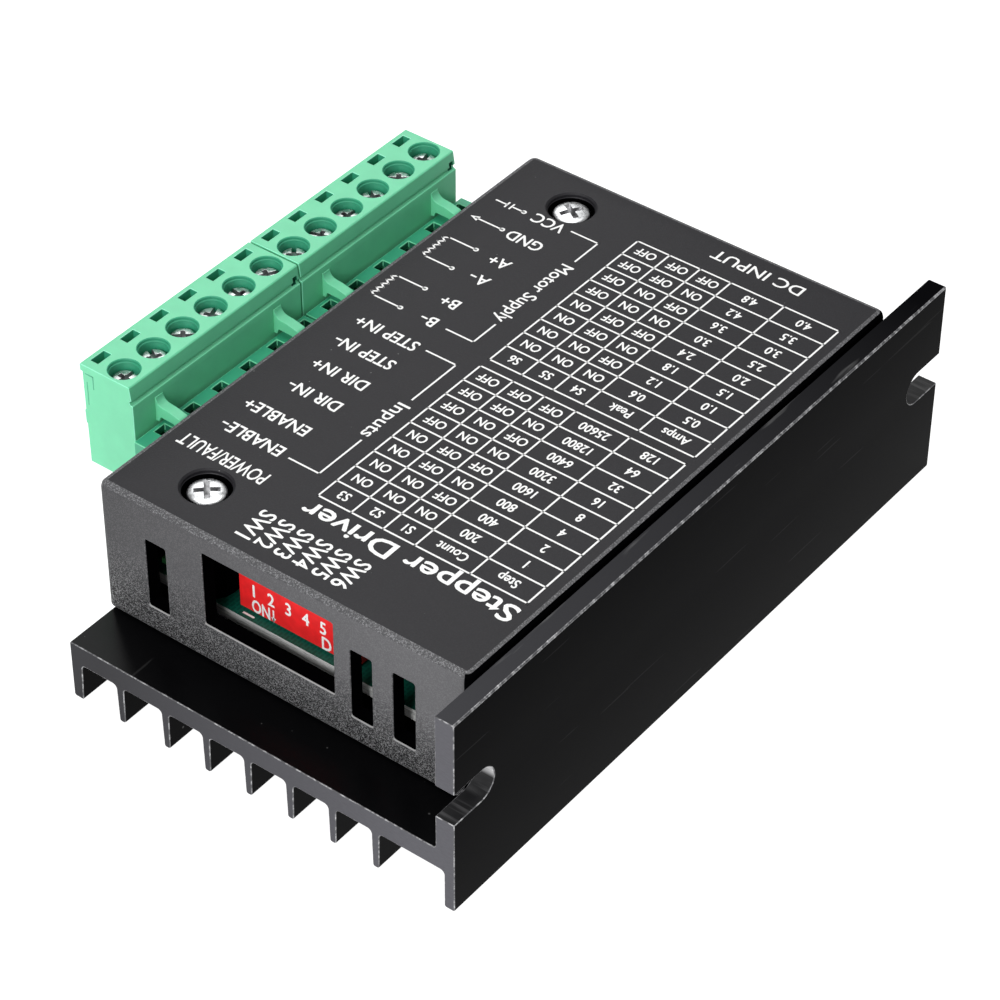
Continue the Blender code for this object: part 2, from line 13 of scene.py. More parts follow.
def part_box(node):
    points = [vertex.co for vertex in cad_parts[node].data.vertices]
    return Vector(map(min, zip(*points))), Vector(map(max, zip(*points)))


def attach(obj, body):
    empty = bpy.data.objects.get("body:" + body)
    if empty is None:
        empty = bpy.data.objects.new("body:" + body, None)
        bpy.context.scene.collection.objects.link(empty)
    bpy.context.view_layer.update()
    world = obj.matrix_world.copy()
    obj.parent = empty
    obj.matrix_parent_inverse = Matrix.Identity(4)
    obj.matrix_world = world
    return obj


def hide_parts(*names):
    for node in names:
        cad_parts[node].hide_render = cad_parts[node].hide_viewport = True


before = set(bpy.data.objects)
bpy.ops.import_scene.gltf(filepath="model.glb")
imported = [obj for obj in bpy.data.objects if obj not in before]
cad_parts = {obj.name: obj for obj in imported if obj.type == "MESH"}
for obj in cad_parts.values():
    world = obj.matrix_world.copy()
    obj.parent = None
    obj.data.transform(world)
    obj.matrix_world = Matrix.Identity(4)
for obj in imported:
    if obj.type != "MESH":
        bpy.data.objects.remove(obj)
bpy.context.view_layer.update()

MM = 0.001
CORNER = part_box("heatsink")[0]
TO_WORLD = Matrix.Translation(CORNER) @ Matrix.Scale(MM, 4)


def mm_box(node):
    """A CAD node's lowest and highest corners in the module's own millimetres."""
    return [[(value - start) / MM for value, start in zip(corner, CORNER)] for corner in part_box(node)]


# ---- sizes, millimetres ----
WIDTH, LENGTH, WALL_TOP = mm_box("heatsink")[1]
GAP = 0.3
BASE_TOP = 8.37
BASE_UNDER = 5.49
WALL_THICK = 2.55
LEG_THICK = 1.4
EDGE_FIN = 1.4
FIN_TIP, FIN_ROOT = 0.85, 1.1
FIN_XS = [7.5] + [14.35 + 6.13 * k for k in range(6)]
NOTCH_WIDTH, NOTCH_DEPTH, NOTCH_Z = 4.57, 7.05, 15.57

COVER_LOW, COVER_HIGH = mm_box("cover")
COVER_TOP = COVER_HIGH[2]
COVER_WALL = 2.0
COVER_CORNER = 1.2
COVER_RIM = 0.9
WINDOW_X, WINDOW_Z = (14.6, 33.5), (14.0, 24.6)
VENT_XS = ((6.0, 9.1), (35.85, 38.9), (41.8, 44.9))
VENT_Z = (12.1, 22.1)
COVER_OPENING_TOP = 22.5
RECESS_R, RECESS_FLOOR, POST_R = 2.95, 24.6, 3.55
SCREW_HOLE_R = 1.5
SCREW_PLACES = ("front", "rear")

BOARD_TOP = mm_box("circuit_board")[1][2]
DIP_LOW, DIP_HIGH = mm_box("dip_switch_body")
DIP_WAYS, DIP_PITCH = 6, 2.54
LEVER_SLOT_Z = (18.2, 22.1)
LEVER_SIDE_GAP = 0.28

PITCH, POLES = 5.08, 6
KEY_X, KEY_Y = (0.55, 2.0), (-0.1, 1.75)
POLE_X = sum(corner[0] for corner in mm_box("terminal_screw_1")) / 2
WELL_R, WELL_FLOOR = 1.9, 25.0
PLUG_BACK, HOOK_ROOT = -7.05, -7.55
HOOK_OFFSETS, HOOK_WIDTH = (3.9, 25.2), 1.4
PROBE_NEAR, PROBE_FAR, PROBE_HALF = 0.62, 1.82, 1.15
ENTRY_Y, ENTRY_Z = (-1.7, 1.7), (15.4, 20.0)
SOCKET_X, SOCKET_Y, SOCKET_Z = (-4.1, 2.2), (-0.9, 0.9), (16.4, 18.2)
NOSE_X = (-8.05, 1.2)
CAGE_ROOM_ABOVE = 2.5
HEADER_WALL, HEADER_BACK = 1.0, 5.3
PIN_HALF, PIN_TIP_X = 0.5, -3.5
CAGE_LOW, CAGE_HIGH = mm_box("wire_clamp_1")
BLOCKS = ("signal", "power")


# ---- node-based paints ----

class Paint:
    """A Principled material whose inputs are fed by small node chains, in millimetre coordinates."""

    def __init__(self, name, colour, roughness, metallic=0.0, **sockets):
        self.material = bpy.data.materials.new(name)
        self.material.use_nodes = True
        self.tree = self.material.node_tree
        self.shader = self.tree.nodes["Principled BSDF"]
        self.set("Base Color", (*colour, 1))
        self.set("Roughness", roughness)
        self.set("Metallic", metallic)
        for socket, value in sockets.items():
            self.set(socket.replace("_", " "), value)

    def set(self, socket, value):
        self.shader.inputs[socket].default_value = value

    def feed(self, socket, source):
        self.tree.links.new(source, self.shader.inputs[socket])

    def node(self, kind, links=(), **settings):
        """A shader node; settings are its own properties or else its inputs' values."""
        made = self.tree.nodes.new("ShaderNode" + kind)
        for key, value in settings.items():
            if hasattr(made, key):
                setattr(made, key, value)
            else:
                made.inputs[key.replace("_", " ").title()].default_value = value
        for socket, source in dict(links).items():
            self.tree.links.new(source, made.inputs[socket])
        return made

    def place(self, stretch=(1, 1, 1), turn=(0, 0, 0)):
        """Object coordinates in millimetres, stretched per axis."""
        coordinates = self.node("TexCoord").outputs["Object"]
        mapping = self.node("Mapping", {"Vector": coordinates}, vector_type="POINT")
        mapping.inputs["Scale"].default_value = [s / MM for s in stretch]
        mapping.inputs["Rotation"].default_value = turn
        return mapping.outputs["Vector"]

    def noise(self, scale, detail=2.0, stretch=(1, 1, 1), roughness=0.5, turn=(0, 0, 0)):
        made = self.node("TexNoise", {"Vector": self.place(stretch, turn)}, scale=scale, detail=detail,
                         roughness=roughness)
        return made.outputs["Fac"]

    def axis(self, name):
        """One coordinate of the surface, in millimetres of the world frame."""
        split = self.node("SeparateXYZ", {"Vector": self.place()})
        return split.outputs[name]

    def steps(self, source, low, high, low_value=0.0, high_value=1.0):
        """A value that runs from one level to another as the source passes from low to high."""
        made = self.node("MapRange", {"Value": source})
        numbers = {"From Min": low, "From Max": high, "To Min": low_value, "To Max": high_value}
        for socket, number in numbers.items():
            made.inputs[socket].default_value = number
        return made.outputs["Result"]

    def times(self, one, other, operation="MULTIPLY"):
        """The product, or another operation, of two values; each is a number or a node's output."""
        made = self.node("Math", operation=operation)
        for socket, value in zip(made.inputs, (one, other)):
            if isinstance(value, (int, float)):
                socket.default_value = value
            else:
                self.tree.links.new(value, socket)
        return made.outputs[0]

    def blend(self, factor, first, second):
        """A colour between two others; each may be a colour or another node's output."""
        made = self.node("Mix", data_type="RGBA")
        self.tree.links.new(factor, made.inputs["Factor"])
        for socket, value in zip((made.inputs[6], made.inputs[7]), (first, second)):
            if isinstance(value, tuple):
                socket.default_value = (*value, 1)
            else:
                self.tree.links.new(value, socket)
        return made.outputs[2]

    def colour(self, factor, first, second):
        """Colours the surface by a blend, and returns it."""
        mixed = self.blend(factor, first, second)
        self.feed("Base Color", mixed)
        return mixed

    def bump(self, height, strength, depth=0.05, under=None):
        """Relief of a depth in millimetres; under chains it on another relief."""
        made = self.node("Bump", {"Height": height})
        made.inputs["Strength"].default_value = strength
        made.inputs["Distance"].default_value = depth * MM
        if under:
            self.tree.links.new(under, made.inputs["Normal"])
        self.feed("Normal", made.outputs["Normal"])
        return made.outputs["Normal"]


def specks(paint, scale, size, seed_shift=0.0):
    """Small scattered dots: 1 inside a dot and 0 outside, only in some of the cells."""
    place = paint.place()
    shifted = paint.node("VectorMath", {0: place}, operation="ADD")
    shifted.inputs[1].default_value = (seed_shift, seed_shift, seed_shift)
    cell = paint.node("TexVoronoi", {"Vector": shifted.outputs[0]}, scale=scale)
    dot = paint.steps(cell.outputs["Distance"], size, size * 0.5)
    chance = paint.node("SeparateColor", {"Color": cell.outputs["Color"]}).outputs[0]
    return paint.times(dot, paint.steps(chance, 0.6, 0.62))


def anodised(name, gloss):
    """Satin black anodised extrusion: die lines along its length, dust specks, faint scratches."""
    paint = Paint(name, (0.002, 0.002, 0.0025), 0.3, Specular_IOR_Level=gloss)
    die_lines = paint.noise(3.0, 3.0, stretch=(1, 0.01, 1))
    grain = paint.noise(9.0, 2.0)
    relief = paint.bump(die_lines, 0.12, 0.01)
    paint.bump(grain, 0.15, 0.01, relief)
    scratches = paint.steps(paint.noise(1.2, 1.0, stretch=(1, 0.05, 1.6), turn=(0.6, 0, 0)), 0.735, 0.75)
    marks = paint.times(specks(paint, 0.2, 0.04), specks(paint, 0.35, 0.04, 5.0), "MAXIMUM")
    worn = paint.times(paint.times(marks, 0.6), paint.times(scratches, 0.07), "MAXIMUM")
    paint.colour(worn, (0.001, 0.001, 0.0013), (0.16, 0.16, 0.16))
    return paint.material


def sawn():
    """The extrusion's cut ends: greyer than its sides, with fine saw marks and specks, and painted light
    that leaves them darker towards the left.
    """
    paint = Paint("sawn_anodised", (0.08, 0.08, 0.085), 0.6, 0.2, Specular_IOR_Level=0.25)
    marks = paint.noise(5.0, 3.0, stretch=(0.25, 1, 1))
    fine = paint.noise(16.0, 2.0)
    tone = paint.steps(paint.times(marks, fine, "ADD"), 0.6, 1.2, 0.7, 1.0)
    # Painted light: the ends are painted darker towards -X and paler towards +X, as the light falls across
    # them.
    lit = paint.steps(paint.axis("X"), -16.0, 30.0)
    paint.colour(paint.times(tone, lit), (0.017, 0.0168, 0.02), (0.085, 0.084, 0.096))
    paint.bump(marks, 0.12, 0.02)
    return paint.material


def wall_top():
    """The wall's upper edge: satin, with a painted reflection that fades from pale at its front end to near
    black at its rear end.
    """
    paint = Paint("wall_top", (0.03, 0.03, 0.032), 0.5, Specular_IOR_Level=0.0)
    # Painted reflection: the colour runs from pale at the front to near black at the rear, in place of the
    # lamps' reflection.
    reflection_fade = paint.steps(paint.axis("Y"), -48.0, 44.0)
    ground = paint.blend(reflection_fade, (0.045, 0.045, 0.049), (0.003, 0.003, 0.0035))
    rubbed = paint.steps(paint.noise(0.8, 3.0, stretch=(1, 0.1, 1)), 0.62, 0.72)
    paint.colour(paint.times(rubbed, 0.35), ground, (0.16, 0.16, 0.16))
    return paint.material


def worn_edge():
    """Edges where the anodising has rubbed thin, with bare metal showing in an uneven line; the same pale
    paint is also a painted highlight where edges catch the light.
    """
    paint = Paint("worn_edge", (0.3, 0.3, 0.3), 0.35, 0.5)
    wear_and_highlight = paint.steps(paint.noise(1.4, 4.0, roughness=0.7), 0.46, 0.7)
    paint.colour(wear_and_highlight, (0.09, 0.09, 0.095), (0.55, 0.55, 0.56))
    return paint.material


def milled():
    """The mounting slots' inside: cutter marks across the wall, pale smears, and pale bare metal painted
    only where the light falls: the upper half of the front slot, much fainter in the rear one.
    """
    paint = Paint("milled_slot", (0.2, 0.2, 0.2), 0.4, 0.3)
    marks = paint.noise(1.6, 2.0, stretch=(0.06, 1, 1))
    high = paint.steps(paint.axis("Z"), NOTCH_Z - 0.6, NOTCH_Z + 0.4)
    front = paint.steps(paint.axis("Y"), 0.0, 1.0, 1.0, 0.12)
    smears = paint.times(paint.steps(marks, 0.56, 0.7), 0.05)
    # Painted highlight: the pale metal goes only on the slot's upper half, and mostly in the front slot.
    upper = paint.times(paint.times(high, front), paint.steps(marks, 0.3, 0.6, 0.55, 1.0))
    bare = paint.times(upper, smears, "MAXIMUM")
    paint.colour(bare, (0.004, 0.004, 0.005), (0.9, 0.9, 0.91))
    paint.bump(marks, 0.2, 0.03)
    return paint.material


def cover_plastic(name, dark, light, sparkle, roughness):
    """Spark-textured black plastic; sparkle is how strongly the grain glints."""
    paint = Paint(name, dark, roughness, Specular_IOR_Level=0.35)
    coarse = paint.noise(4.5, 2.0, roughness=0.6)
    fine = paint.noise(11.0, 2.0)
    glint = paint.steps(paint.times(coarse, fine), 0.24, 0.36)
    paint.colour(paint.times(glint, sparkle), dark, light)
    relief = paint.bump(coarse, 0.35 * sparkle + 0.1, 0.06)
    paint.bump(fine, 0.3, 0.02, relief)
    return paint


def cover_top():
    """The cover's top: fine matt grain with dust and a few scuffs."""
    paint = cover_plastic("cover_top", (0.0075, 0.007, 0.0093), (0.017, 0.016, 0.02), 0.45, 0.55)
    grain = paint.shader.inputs["Base Color"].links[0].from_socket
    dust = paint.times(specks(paint, 0.45, 0.045), 0.6)
    paint.colour(dust, grain, (0.22, 0.22, 0.22))
    return paint.material


def cover_side():
    """The cover's sides: a painted sheen makes them paler upwards and to the right; lower down they are
    darker, with painted glints on a coarse grain.
    """
    paint = Paint("cover_side", (0.03, 0.03, 0.032), 0.55, Specular_IOR_Level=0.12)
    coarse = paint.noise(5.0, 3.0, roughness=0.7)
    fine = paint.noise(10.0, 2.0)
    glint = paint.steps(paint.times(coarse, fine), 0.26, 0.32)
    # Painted glints on the grain, strongest low down.
    strength = paint.steps(paint.axis("Z"), 11.0, 20.0, 0.4, 0.07)
    # Painted sheen: the ground colour grows paler upwards and to the right, as the light falls on the sides.
    above = paint.steps(paint.axis("Z"), 10.5, 19.0)
    right = paint.steps(paint.axis("X"), -20.0, 32.0, 0.4, 0.9)
    ground = paint.blend(paint.times(above, right), (0.006, 0.006, 0.007), (0.115, 0.114, 0.12))
    paint.colour(paint.times(glint, strength), ground, (0.5, 0.5, 0.51))
    relief = paint.bump(coarse, 0.4, 0.05)
    paint.bump(fine, 0.35, 0.03, relief)
    return paint.material


def cover_rim():
    """The paler bevel round the cover's top: a painted highlight where it catches the light."""
    paint = cover_plastic("cover_rim", (0.05, 0.05, 0.053), (0.24, 0.24, 0.25), 0.8, 0.5)
    return paint.material


def green_plastic(name, colour, roughness=0.42):
    """Moulded green polyamide: slightly cloudy, with a soft sheen and a fine skin."""
    paint = Paint(name, colour, roughness, Subsurface_Weight=0.12, Subsurface_Scale=0.0012,
                  Specular_IOR_Level=0.5)
    paint.set("Subsurface Radius", (0.3, 1.0, 0.6))
    darker = tuple(value * 0.94 for value in colour)
    cloud = paint.steps(paint.noise(0.35, 3.0), 0.35, 0.65)
    paint.colour(cloud, darker, colour)
    paint.bump(paint.noise(12.0, 2.0), 0.12, 0.02)
    return paint.material


def bright_metal(name, colour, roughness, grime=0.35):
    """Plated metal with uneven gloss and a little grime."""
    paint = Paint(name, colour, roughness, 1.0)
    patches = paint.noise(0.9, 3.0, roughness=0.6)
    dull = tuple(value * (1 - grime) for value in colour)
    paint.colour(paint.steps(patches, 0.45, 0.65), colour, dull)
    paint.feed("Roughness", paint.steps(paint.noise(2.0, 2.0), 0.35, 0.65, roughness * 0.8, roughness * 1.3))
    paint.bump(paint.noise(2.5, 2.0), 0.15, 0.02)
    return paint.material


def solder_mask():
    """The board: glossy green mask over faint copper tracks, and pale rough glass fibre on its edges."""
    paint = Paint("solder_mask", (0.008, 0.1, 0.06), 0.5, Specular_IOR_Level=0.25)
    tracks = paint.node("TexBrick", {"Vector": paint.place((1, 1, 1), (0, 0, radians(90)))}, scale=0.5)
    tracks.inputs["Mortar Size"].default_value = 0.06
    copper = paint.steps(tracks.outputs["Fac"], 0.4, 0.6)
    mask = paint.blend(paint.times(copper, 0.6), (0.002, 0.07, 0.048), (0.006, 0.13, 0.085))
    fibres = paint.steps(paint.noise(2.2, 5.0, stretch=(0.16, 0.35, 2.5), roughness=0.75), 0.3, 0.52)
    # Painted light: the glass-fibre edge is painted paler towards the right, where more light falls on it.
    right = paint.steps(paint.axis("X"), -8.0, 12.0, 0.5, 1.0)
    edge = paint.blend(paint.times(fibres, right), (0.12, 0.13, 0.125), (0.97, 0.98, 0.96))
    normal = paint.node("NewGeometry").outputs["Normal"]
    upright = paint.node("SeparateXYZ", {"Vector": normal}).outputs["Z"]
    flat = paint.steps(paint.times(upright, upright), 0.3, 0.5)
    paint.colour(flat, edge, mask)
    paint.feed("Roughness", paint.steps(flat, 0, 1, 0.85, 0.5))
    paint.bump(paint.noise(3.0, 3.0), 0.15, 0.03)
    return paint.material


def glossy_plastic(name, colour, roughness=0.35, shade=0.85, specular=0.45):
    """A small moulding: soft sheen, faint flow marks."""
    paint = Paint(name, colour, roughness, Specular_IOR_Level=specular)
    flow = paint.steps(paint.noise(0.8, 2.0), 0.35, 0.65)
    paint.colour(flow, tuple(value * shade for value in colour), colour)
    paint.bump(paint.noise(10.0, 2.0), 0.15, 0.01)
    return paint.material


def ink():
    """Screen-printed white ink, a little thin in places."""
    colour = (0.86, 0.86, 0.85)
    paint = Paint("white_ink", colour, 0.55)
    thin = paint.steps(paint.noise(5.0, 3.0), 0.3, 0.55)
    paint.colour(thin, tuple(value * 0.8 for value in colour), colour)
    return paint.material


def pale_floor():
    """A near-white ground that shines by itself, so that only faint shadows show on it."""
    paint = Paint("pale_floor", (0.3, 0.3, 0.3), 0.9, Specular_IOR_Level=0.0, Emission_Strength=1.0)
    tone = paint.steps(paint.noise(0.02, 2.0), 0.3, 0.7)
    paint.feed("Emission Color", paint.blend(tone, (0.94, 0.94, 0.94), (0.95, 0.95, 0.95)))
    return paint.material


ANODISED, ANODISED_UP = anodised("black_anodised", 0.008), anodised("black_anodised_glossy", 0.1)
SAWN, WORN_AND_HIGHLIGHT, MILLED, WALL_TOP_PAINT = sawn(), worn_edge(), milled(), wall_top()
COVER_TOP_PAINT, COVER_SIDE_PAINT, COVER_RIM_HIGHLIGHT = cover_top(), cover_side(), cover_rim()
# Painted shade: near black with no sheen, for the shell's inside, its openings and its side facing the wall.
COVER_SHADE = glossy_plastic("cover_inside", (0.001, 0.001, 0.0013), 0.7, specular=0.0)
# Painted highlight: a pale grey line on the front's rounded lower edges.
COVER_EDGE_HIGHLIGHT = glossy_plastic("cover_edge_highlight", (0.3, 0.3, 0.3), 0.4)
GREEN = green_plastic("green_plastic", (0.15, 0.6, 0.345))
# Painted highlight: a paler green for rounded edges of the plugs.
GREEN_HIGHLIGHT = green_plastic("green_plastic_highlight", (0.28, 0.8, 0.55), 0.35)
# Painted shade: a darker green for the headers, lying in shadow between cover and plug, and for the walls of
# wells, probe slots and moulded lines.
GREEN_SOFT_SHADE = green_plastic("green_plastic_soft_shade", (0.035, 0.33, 0.185))
GREEN_SHADE = green_plastic("green_plastic_shade", (0.01, 0.13, 0.07))
ZINC = bright_metal("zinc_plate", (0.74, 0.75, 0.76), 0.28)
# Painted shade: a darker metal for the inside of the screwdriver recesses.
RECESS_SHADE_METAL = bright_metal("screw_recess_shade", (0.5, 0.5, 0.51), 0.4)
NICKEL = bright_metal("nickel_plate", (0.72, 0.68, 0.6), 0.3)
TIN = bright_metal("tinned_pin", (0.74, 0.74, 0.72), 0.28)
SOLDER_MASK = solder_mask()
DIP_RED = glossy_plastic("dip_red", (0.82, 0.018, 0.02), 0.4)
LEVER_WHITE = glossy_plastic("lever_white", (0.8, 0.8, 0.76))
CHIP_BLACK = glossy_plastic("chip_black", (0.012, 0.012, 0.013), 0.45)
FERRITE = glossy_plastic("ferrite", (0.05, 0.05, 0.055), 0.7)
PAD_GREY = glossy_plastic("pad_grey", (0.3, 0.33, 0.38), 0.8)
LED_GREEN = glossy_plastic("led_green", (0.15, 0.75, 0.25), 0.15)
LED_RED = glossy_plastic("led_red", (0.8, 0.08, 0.05), 0.15)
WHITE_INK = ink()


# ---- shapes, in millimetres ----

def add_object(name, data):
    obj = bpy.data.objects.new(name, data)
    bpy.context.scene.collection.objects.link(obj)
    return obj


def evaluated_mesh(obj):
    """A new mesh of the object as its modifiers or its font leave it."""
    bpy.context.view_layer.update()
    return bpy.data.meshes.new_from_object(obj.evaluated_get(bpy.context.evaluated_depsgraph_get()))


def shape_object(name, shape, slot=0):
    """A finished bmesh as an object, all its faces in one material slot."""
    bmesh.ops.recalc_face_normals(shape, faces=shape.faces)
    for face in shape.faces:
        face.material_index = slot
    mesh = bpy.data.meshes.new(name)
    shape.to_mesh(mesh)
    shape.free()
    return add_object(name, mesh)


def add_box(shape, low, high):
    verts = bmesh.ops.create_cube(shape, size=1.0)["verts"]
    bmesh.ops.scale(shape, verts=verts, vec=[b - a for a, b in zip(low, high)])
    bmesh.ops.translate(shape, verts=verts, vec=[(a + b) / 2 for a, b in zip(low, high)])
    return verts


def boxes(name, corners, slot=0):
    shape = bmesh.new()
    for low, high in corners:
        add_box(shape, low, high)
    return shape_object(name, shape, slot)


PLACE_ALONG = {
    "X": lambda a, b, c: (c, a, b),
    "Y": lambda a, b, c: (a, c, b),
    "Z": lambda a, b, c: (a, b, c),
}


def add_prism(shape, points, start, depth, axis):
    """A closed outline pushed along X (points are y, z), Y (points are x, z) or Z (points are x, y)."""
    place = PLACE_ALONG[axis]
    near = [shape.verts.new(place(a, b, start)) for a, b in points]
    far = [shape.verts.new(place(a, b, start + depth)) for a, b in points]
    shape.faces.new(near)
    shape.faces.new(list(reversed(far)))
    for index in range(len(points)):
        shape.faces.new((near[index - 1], far[index - 1], far[index], near[index]))
    return near + far


def prism(name, points, start, depth, axis, slot=0):
    shape = bmesh.new()
    add_prism(shape, points, start, depth, axis)
    return shape_object(name, shape, slot)


def rounded(corners, count=6):
    """An outline with each (a, b, radius) corner rounded by an arc tangent to both its sides."""
    points = []
    for index, (a, b, radius) in enumerate(corners):
        here = Vector((a, b))
        if not radius:
            points.append((a, b))
            continue
        before = (Vector(corners[index - 1][:2]) - here).normalized()
        after = (Vector(corners[(index + 1) % len(corners)][:2]) - here).normalized()
        half = before.angle(after) / 2
        centre = here + (before + after).normalized() * radius / sin(half)
        reach = radius / tan(half)
        start, end = here + before * reach - centre, here + after * reach - centre
        first = atan2(start.y, start.x)
        swing = (atan2(end.y, end.x) - first + pi) % (2 * pi) - pi
        points += [(centre.x + radius * cos(first + swing * k / count),
                    centre.y + radius * sin(first + swing * k / count)) for k in range(count + 1)]
    return points


def rectangle(x0, y0, x1, y1, radius):
    return [(x0, y0, radius), (x1, y0, radius), (x1, y1, radius), (x0, y1, radius)]


def turned(name, profile, centres, steps=48, slot=0):
    """Solids of revolution about the verticals through the centres, from a (radius, z) profile."""
    shape = bmesh.new()
    for x, y in centres:
        points = [shape.verts.new((x + radius, y, z)) for radius, z in profile]
        edges = [shape.edges.new(pair) for pair in zip(points, points[1:])]
        bmesh.ops.spin(shape, geom=points + edges, cent=(x, y, 0), axis=(0, 0, 1), angle=2 * pi,
                       steps=steps, use_duplicate=False)
        bmesh.ops.remove_doubles(shape, verts=shape.verts, dist=1e-4)
    return shape_object(name, shape, slot)


def drum(radius, low, high):
    return [(0, high), (radius, high), (radius, low), (0, low)]


def combine(target, tool, operation):
    """Cuts tool out of target, or joins it on, and removes the tool; its faces keep their slots."""
    for material in target.data.materials:
        tool.data.materials.append(material)
    step = target.modifiers.new("combine", "BOOLEAN")
    step.operation = operation
    step.solver = "EXACT"
    step.object = tool
    made = evaluated_mesh(target)
    target.modifiers.clear()
    target.data = made
    bpy.data.objects.remove(tool, do_unlink=True)


def cut(target, tool):
    combine(target, tool, "DIFFERENCE")


def join(target, tool):
    combine(target, tool, "UNION")


FLAT_ANGLE, SHARP_ANGLE = radians(0.5), radians(20)
MERGE_WITHIN = 0.002
AXIS_ALIGNED = 0.9995


def edge_middle(edge):
    return (edge.verts[0].co + edge.verts[1].co) / 2


def soften(obj, width, where=lambda middle: True, angle=30, segments=2, slot=-1):
    """Rounds the edges sharper than angle whose middles satisfy where; slot repaints the rounding."""
    shape = bmesh.new()
    shape.from_mesh(obj.data)
    bmesh.ops.dissolve_limit(shape, angle_limit=FLAT_ANGLE, verts=[v for v in shape.verts if where(v.co)],
                             edges=[edge for edge in shape.edges if where(edge_middle(edge))],
                             delimit={"MATERIAL"})
    limit = radians(angle)
    chosen = [edge for edge in shape.edges
              if len(edge.link_faces) == 2 and edge.calc_face_angle() > limit and where(edge_middle(edge))]
    bmesh.ops.bevel(shape, geom=chosen, offset=width, segments=segments, profile=0.5, affect="EDGES",
                    clamp_overlap=True, material=slot)
    bmesh.ops.remove_doubles(shape, verts=shape.verts, dist=MERGE_WITHIN)
    shape.to_mesh(obj.data)
    shape.free()


def give_paints(obj, paints):
    for paint in paints:
        obj.data.materials.append(paint)


def finish_piece(obj, name, body, replaces):
    """Takes a finished shape to metres, shades it and lets it ride on a CAD body."""
    obj.name = name
    obj.data.transform(TO_WORLD)
    for polygon in obj.data.polygons:
        polygon.use_smooth = max(abs(value) for value in polygon.normal) < AXIS_ALIGNED
    obj.data.set_sharp_from_angle(angle=SHARP_ANGLE)
    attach(obj, body)
    if replaces:
        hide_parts(*replaces)


def plan_centre(node):
    """The middle of a CAD node, seen from above."""
    low, high = mm_box(node)
    return [(low[axis] + high[axis]) / 2 for axis in (0, 1)]


# ---- heatsink ----

SINK_END, SINK_WEAR_AND_HIGHLIGHT, SINK_MILLED, SINK_UP, SINK_CREST = range(1, 6)


def heatsink_corners():
    """The extrusion's section, from the left edge fin round to the wall."""
    corners = [(0, BASE_TOP, 0.25), (0, 0, 0.35), (EDGE_FIN, 0, 0.2), (EDGE_FIN + 0.25, BASE_UNDER, 0.6)]
    for x in FIN_XS:
        root, tip = FIN_ROOT / 2, FIN_TIP / 2
        corners += [(x - root, BASE_UNDER, 0.6), (x - tip, 0, 0.3)]
        corners += [(x + tip, 0, 0.3), (x + root, BASE_UNDER, 0.6)]
    leg, wall = WIDTH - LEG_THICK, WIDTH - WALL_THICK
    return corners + [(leg, BASE_UNDER, 0.6), (leg, 0, 0.3), (WIDTH, 0, 0.25), (WIDTH, WALL_TOP, 0.22),
                      (wall, WALL_TOP, 0.2), (wall, BASE_TOP, 0.5)]


def slot_outline(mouth, inward):
    """A mounting slot's outline in the wall's plane, round at its inner end."""
    radius = NOTCH_WIDTH / 2
    tip = mouth + inward * (NOTCH_DEPTH - radius)
    turn = [radians(-90 + 180 * k / 24) for k in range(25)]
    arc = [(tip + inward * radius * cos(a), NOTCH_Z + radius * sin(a)) for a in turn]
    out = mouth - inward
    return [(out, NOTCH_Z - radius), *arc, (out, NOTCH_Z + radius)]


def near_notch(middle):
    """Whether a spot is on the rim of one of the wall's mounting slots."""
    level = abs(middle.z - NOTCH_Z) < NOTCH_WIDTH / 2 + 0.1
    end = min(middle.y, LENGTH - middle.y) < NOTCH_DEPTH + 0.1
    return level and end and middle.x > WIDTH - WALL_THICK - 0.1


def make_heatsink():
    sink = prism("heatsink_shape", rounded(heatsink_corners()), 0, LENGTH, "Y")
    give_paints(sink, (ANODISED, SAWN, WORN_AND_HIGHLIGHT, MILLED, ANODISED_UP, WALL_TOP_PAINT))
    for polygon in sink.data.polygons:
        middle, normal = polygon.center, polygon.normal
        # Painted highlight: the wall's rounded outer top edge is painted pale.
        if middle.z > WALL_TOP - 0.22 and normal.x > 0.1 and middle.x > WIDTH - 0.22:
            polygon.material_index = SINK_WEAR_AND_HIGHLIGHT
        elif abs(normal.y) > 0.5:
            polygon.material_index = SINK_END
        elif normal.z > 0.5:
            # The wall's top face gets the painted reflection; other faces that look up get the glossier
            # anodising.
            polygon.material_index = SINK_CREST if middle.z > WALL_TOP - 0.2 else SINK_UP
    # The cut ends' rounded edges get the pale edge paint, as wear and as a painted highlight.
    soften(sink, 0.1, lambda m: m.y < 0.01 or m.y > LENGTH - 0.01, slot=SINK_WEAR_AND_HIGHLIGHT)
    for mouth, inward in ((0, 1), (LENGTH, -1)):
        outline = slot_outline(mouth, inward)
        cut(sink, prism("slot", outline, WIDTH - WALL_THICK - 1, WALL_THICK + 2, "X", SINK_MILLED))
    # The slots' rounded rims get the same pale edge paint, as wear and as a painted highlight.
    soften(sink, 0.09, near_notch, angle=60, slot=SINK_WEAR_AND_HIGHLIGHT)
    hole = drum(SCREW_HOLE_R, BASE_UNDER - 1, BASE_TOP + 1)
    for kind in ("cover", "board"):
        for place in SCREW_PLACES:
            centre = plan_centre(f"{kind}_screw_{place}")
            cut(sink, turned("hole", hole, [centre], 32, SINK_MILLED))
    finish_piece(sink, "heatsink_extrusion", "chassis", ["heatsink"])


# ---- cover ----

SIDE_SLOT, RIM_HIGHLIGHT_SLOT, COVER_SHADE_SLOT, EDGE_HIGHLIGHT_SLOT = range(1, 5)


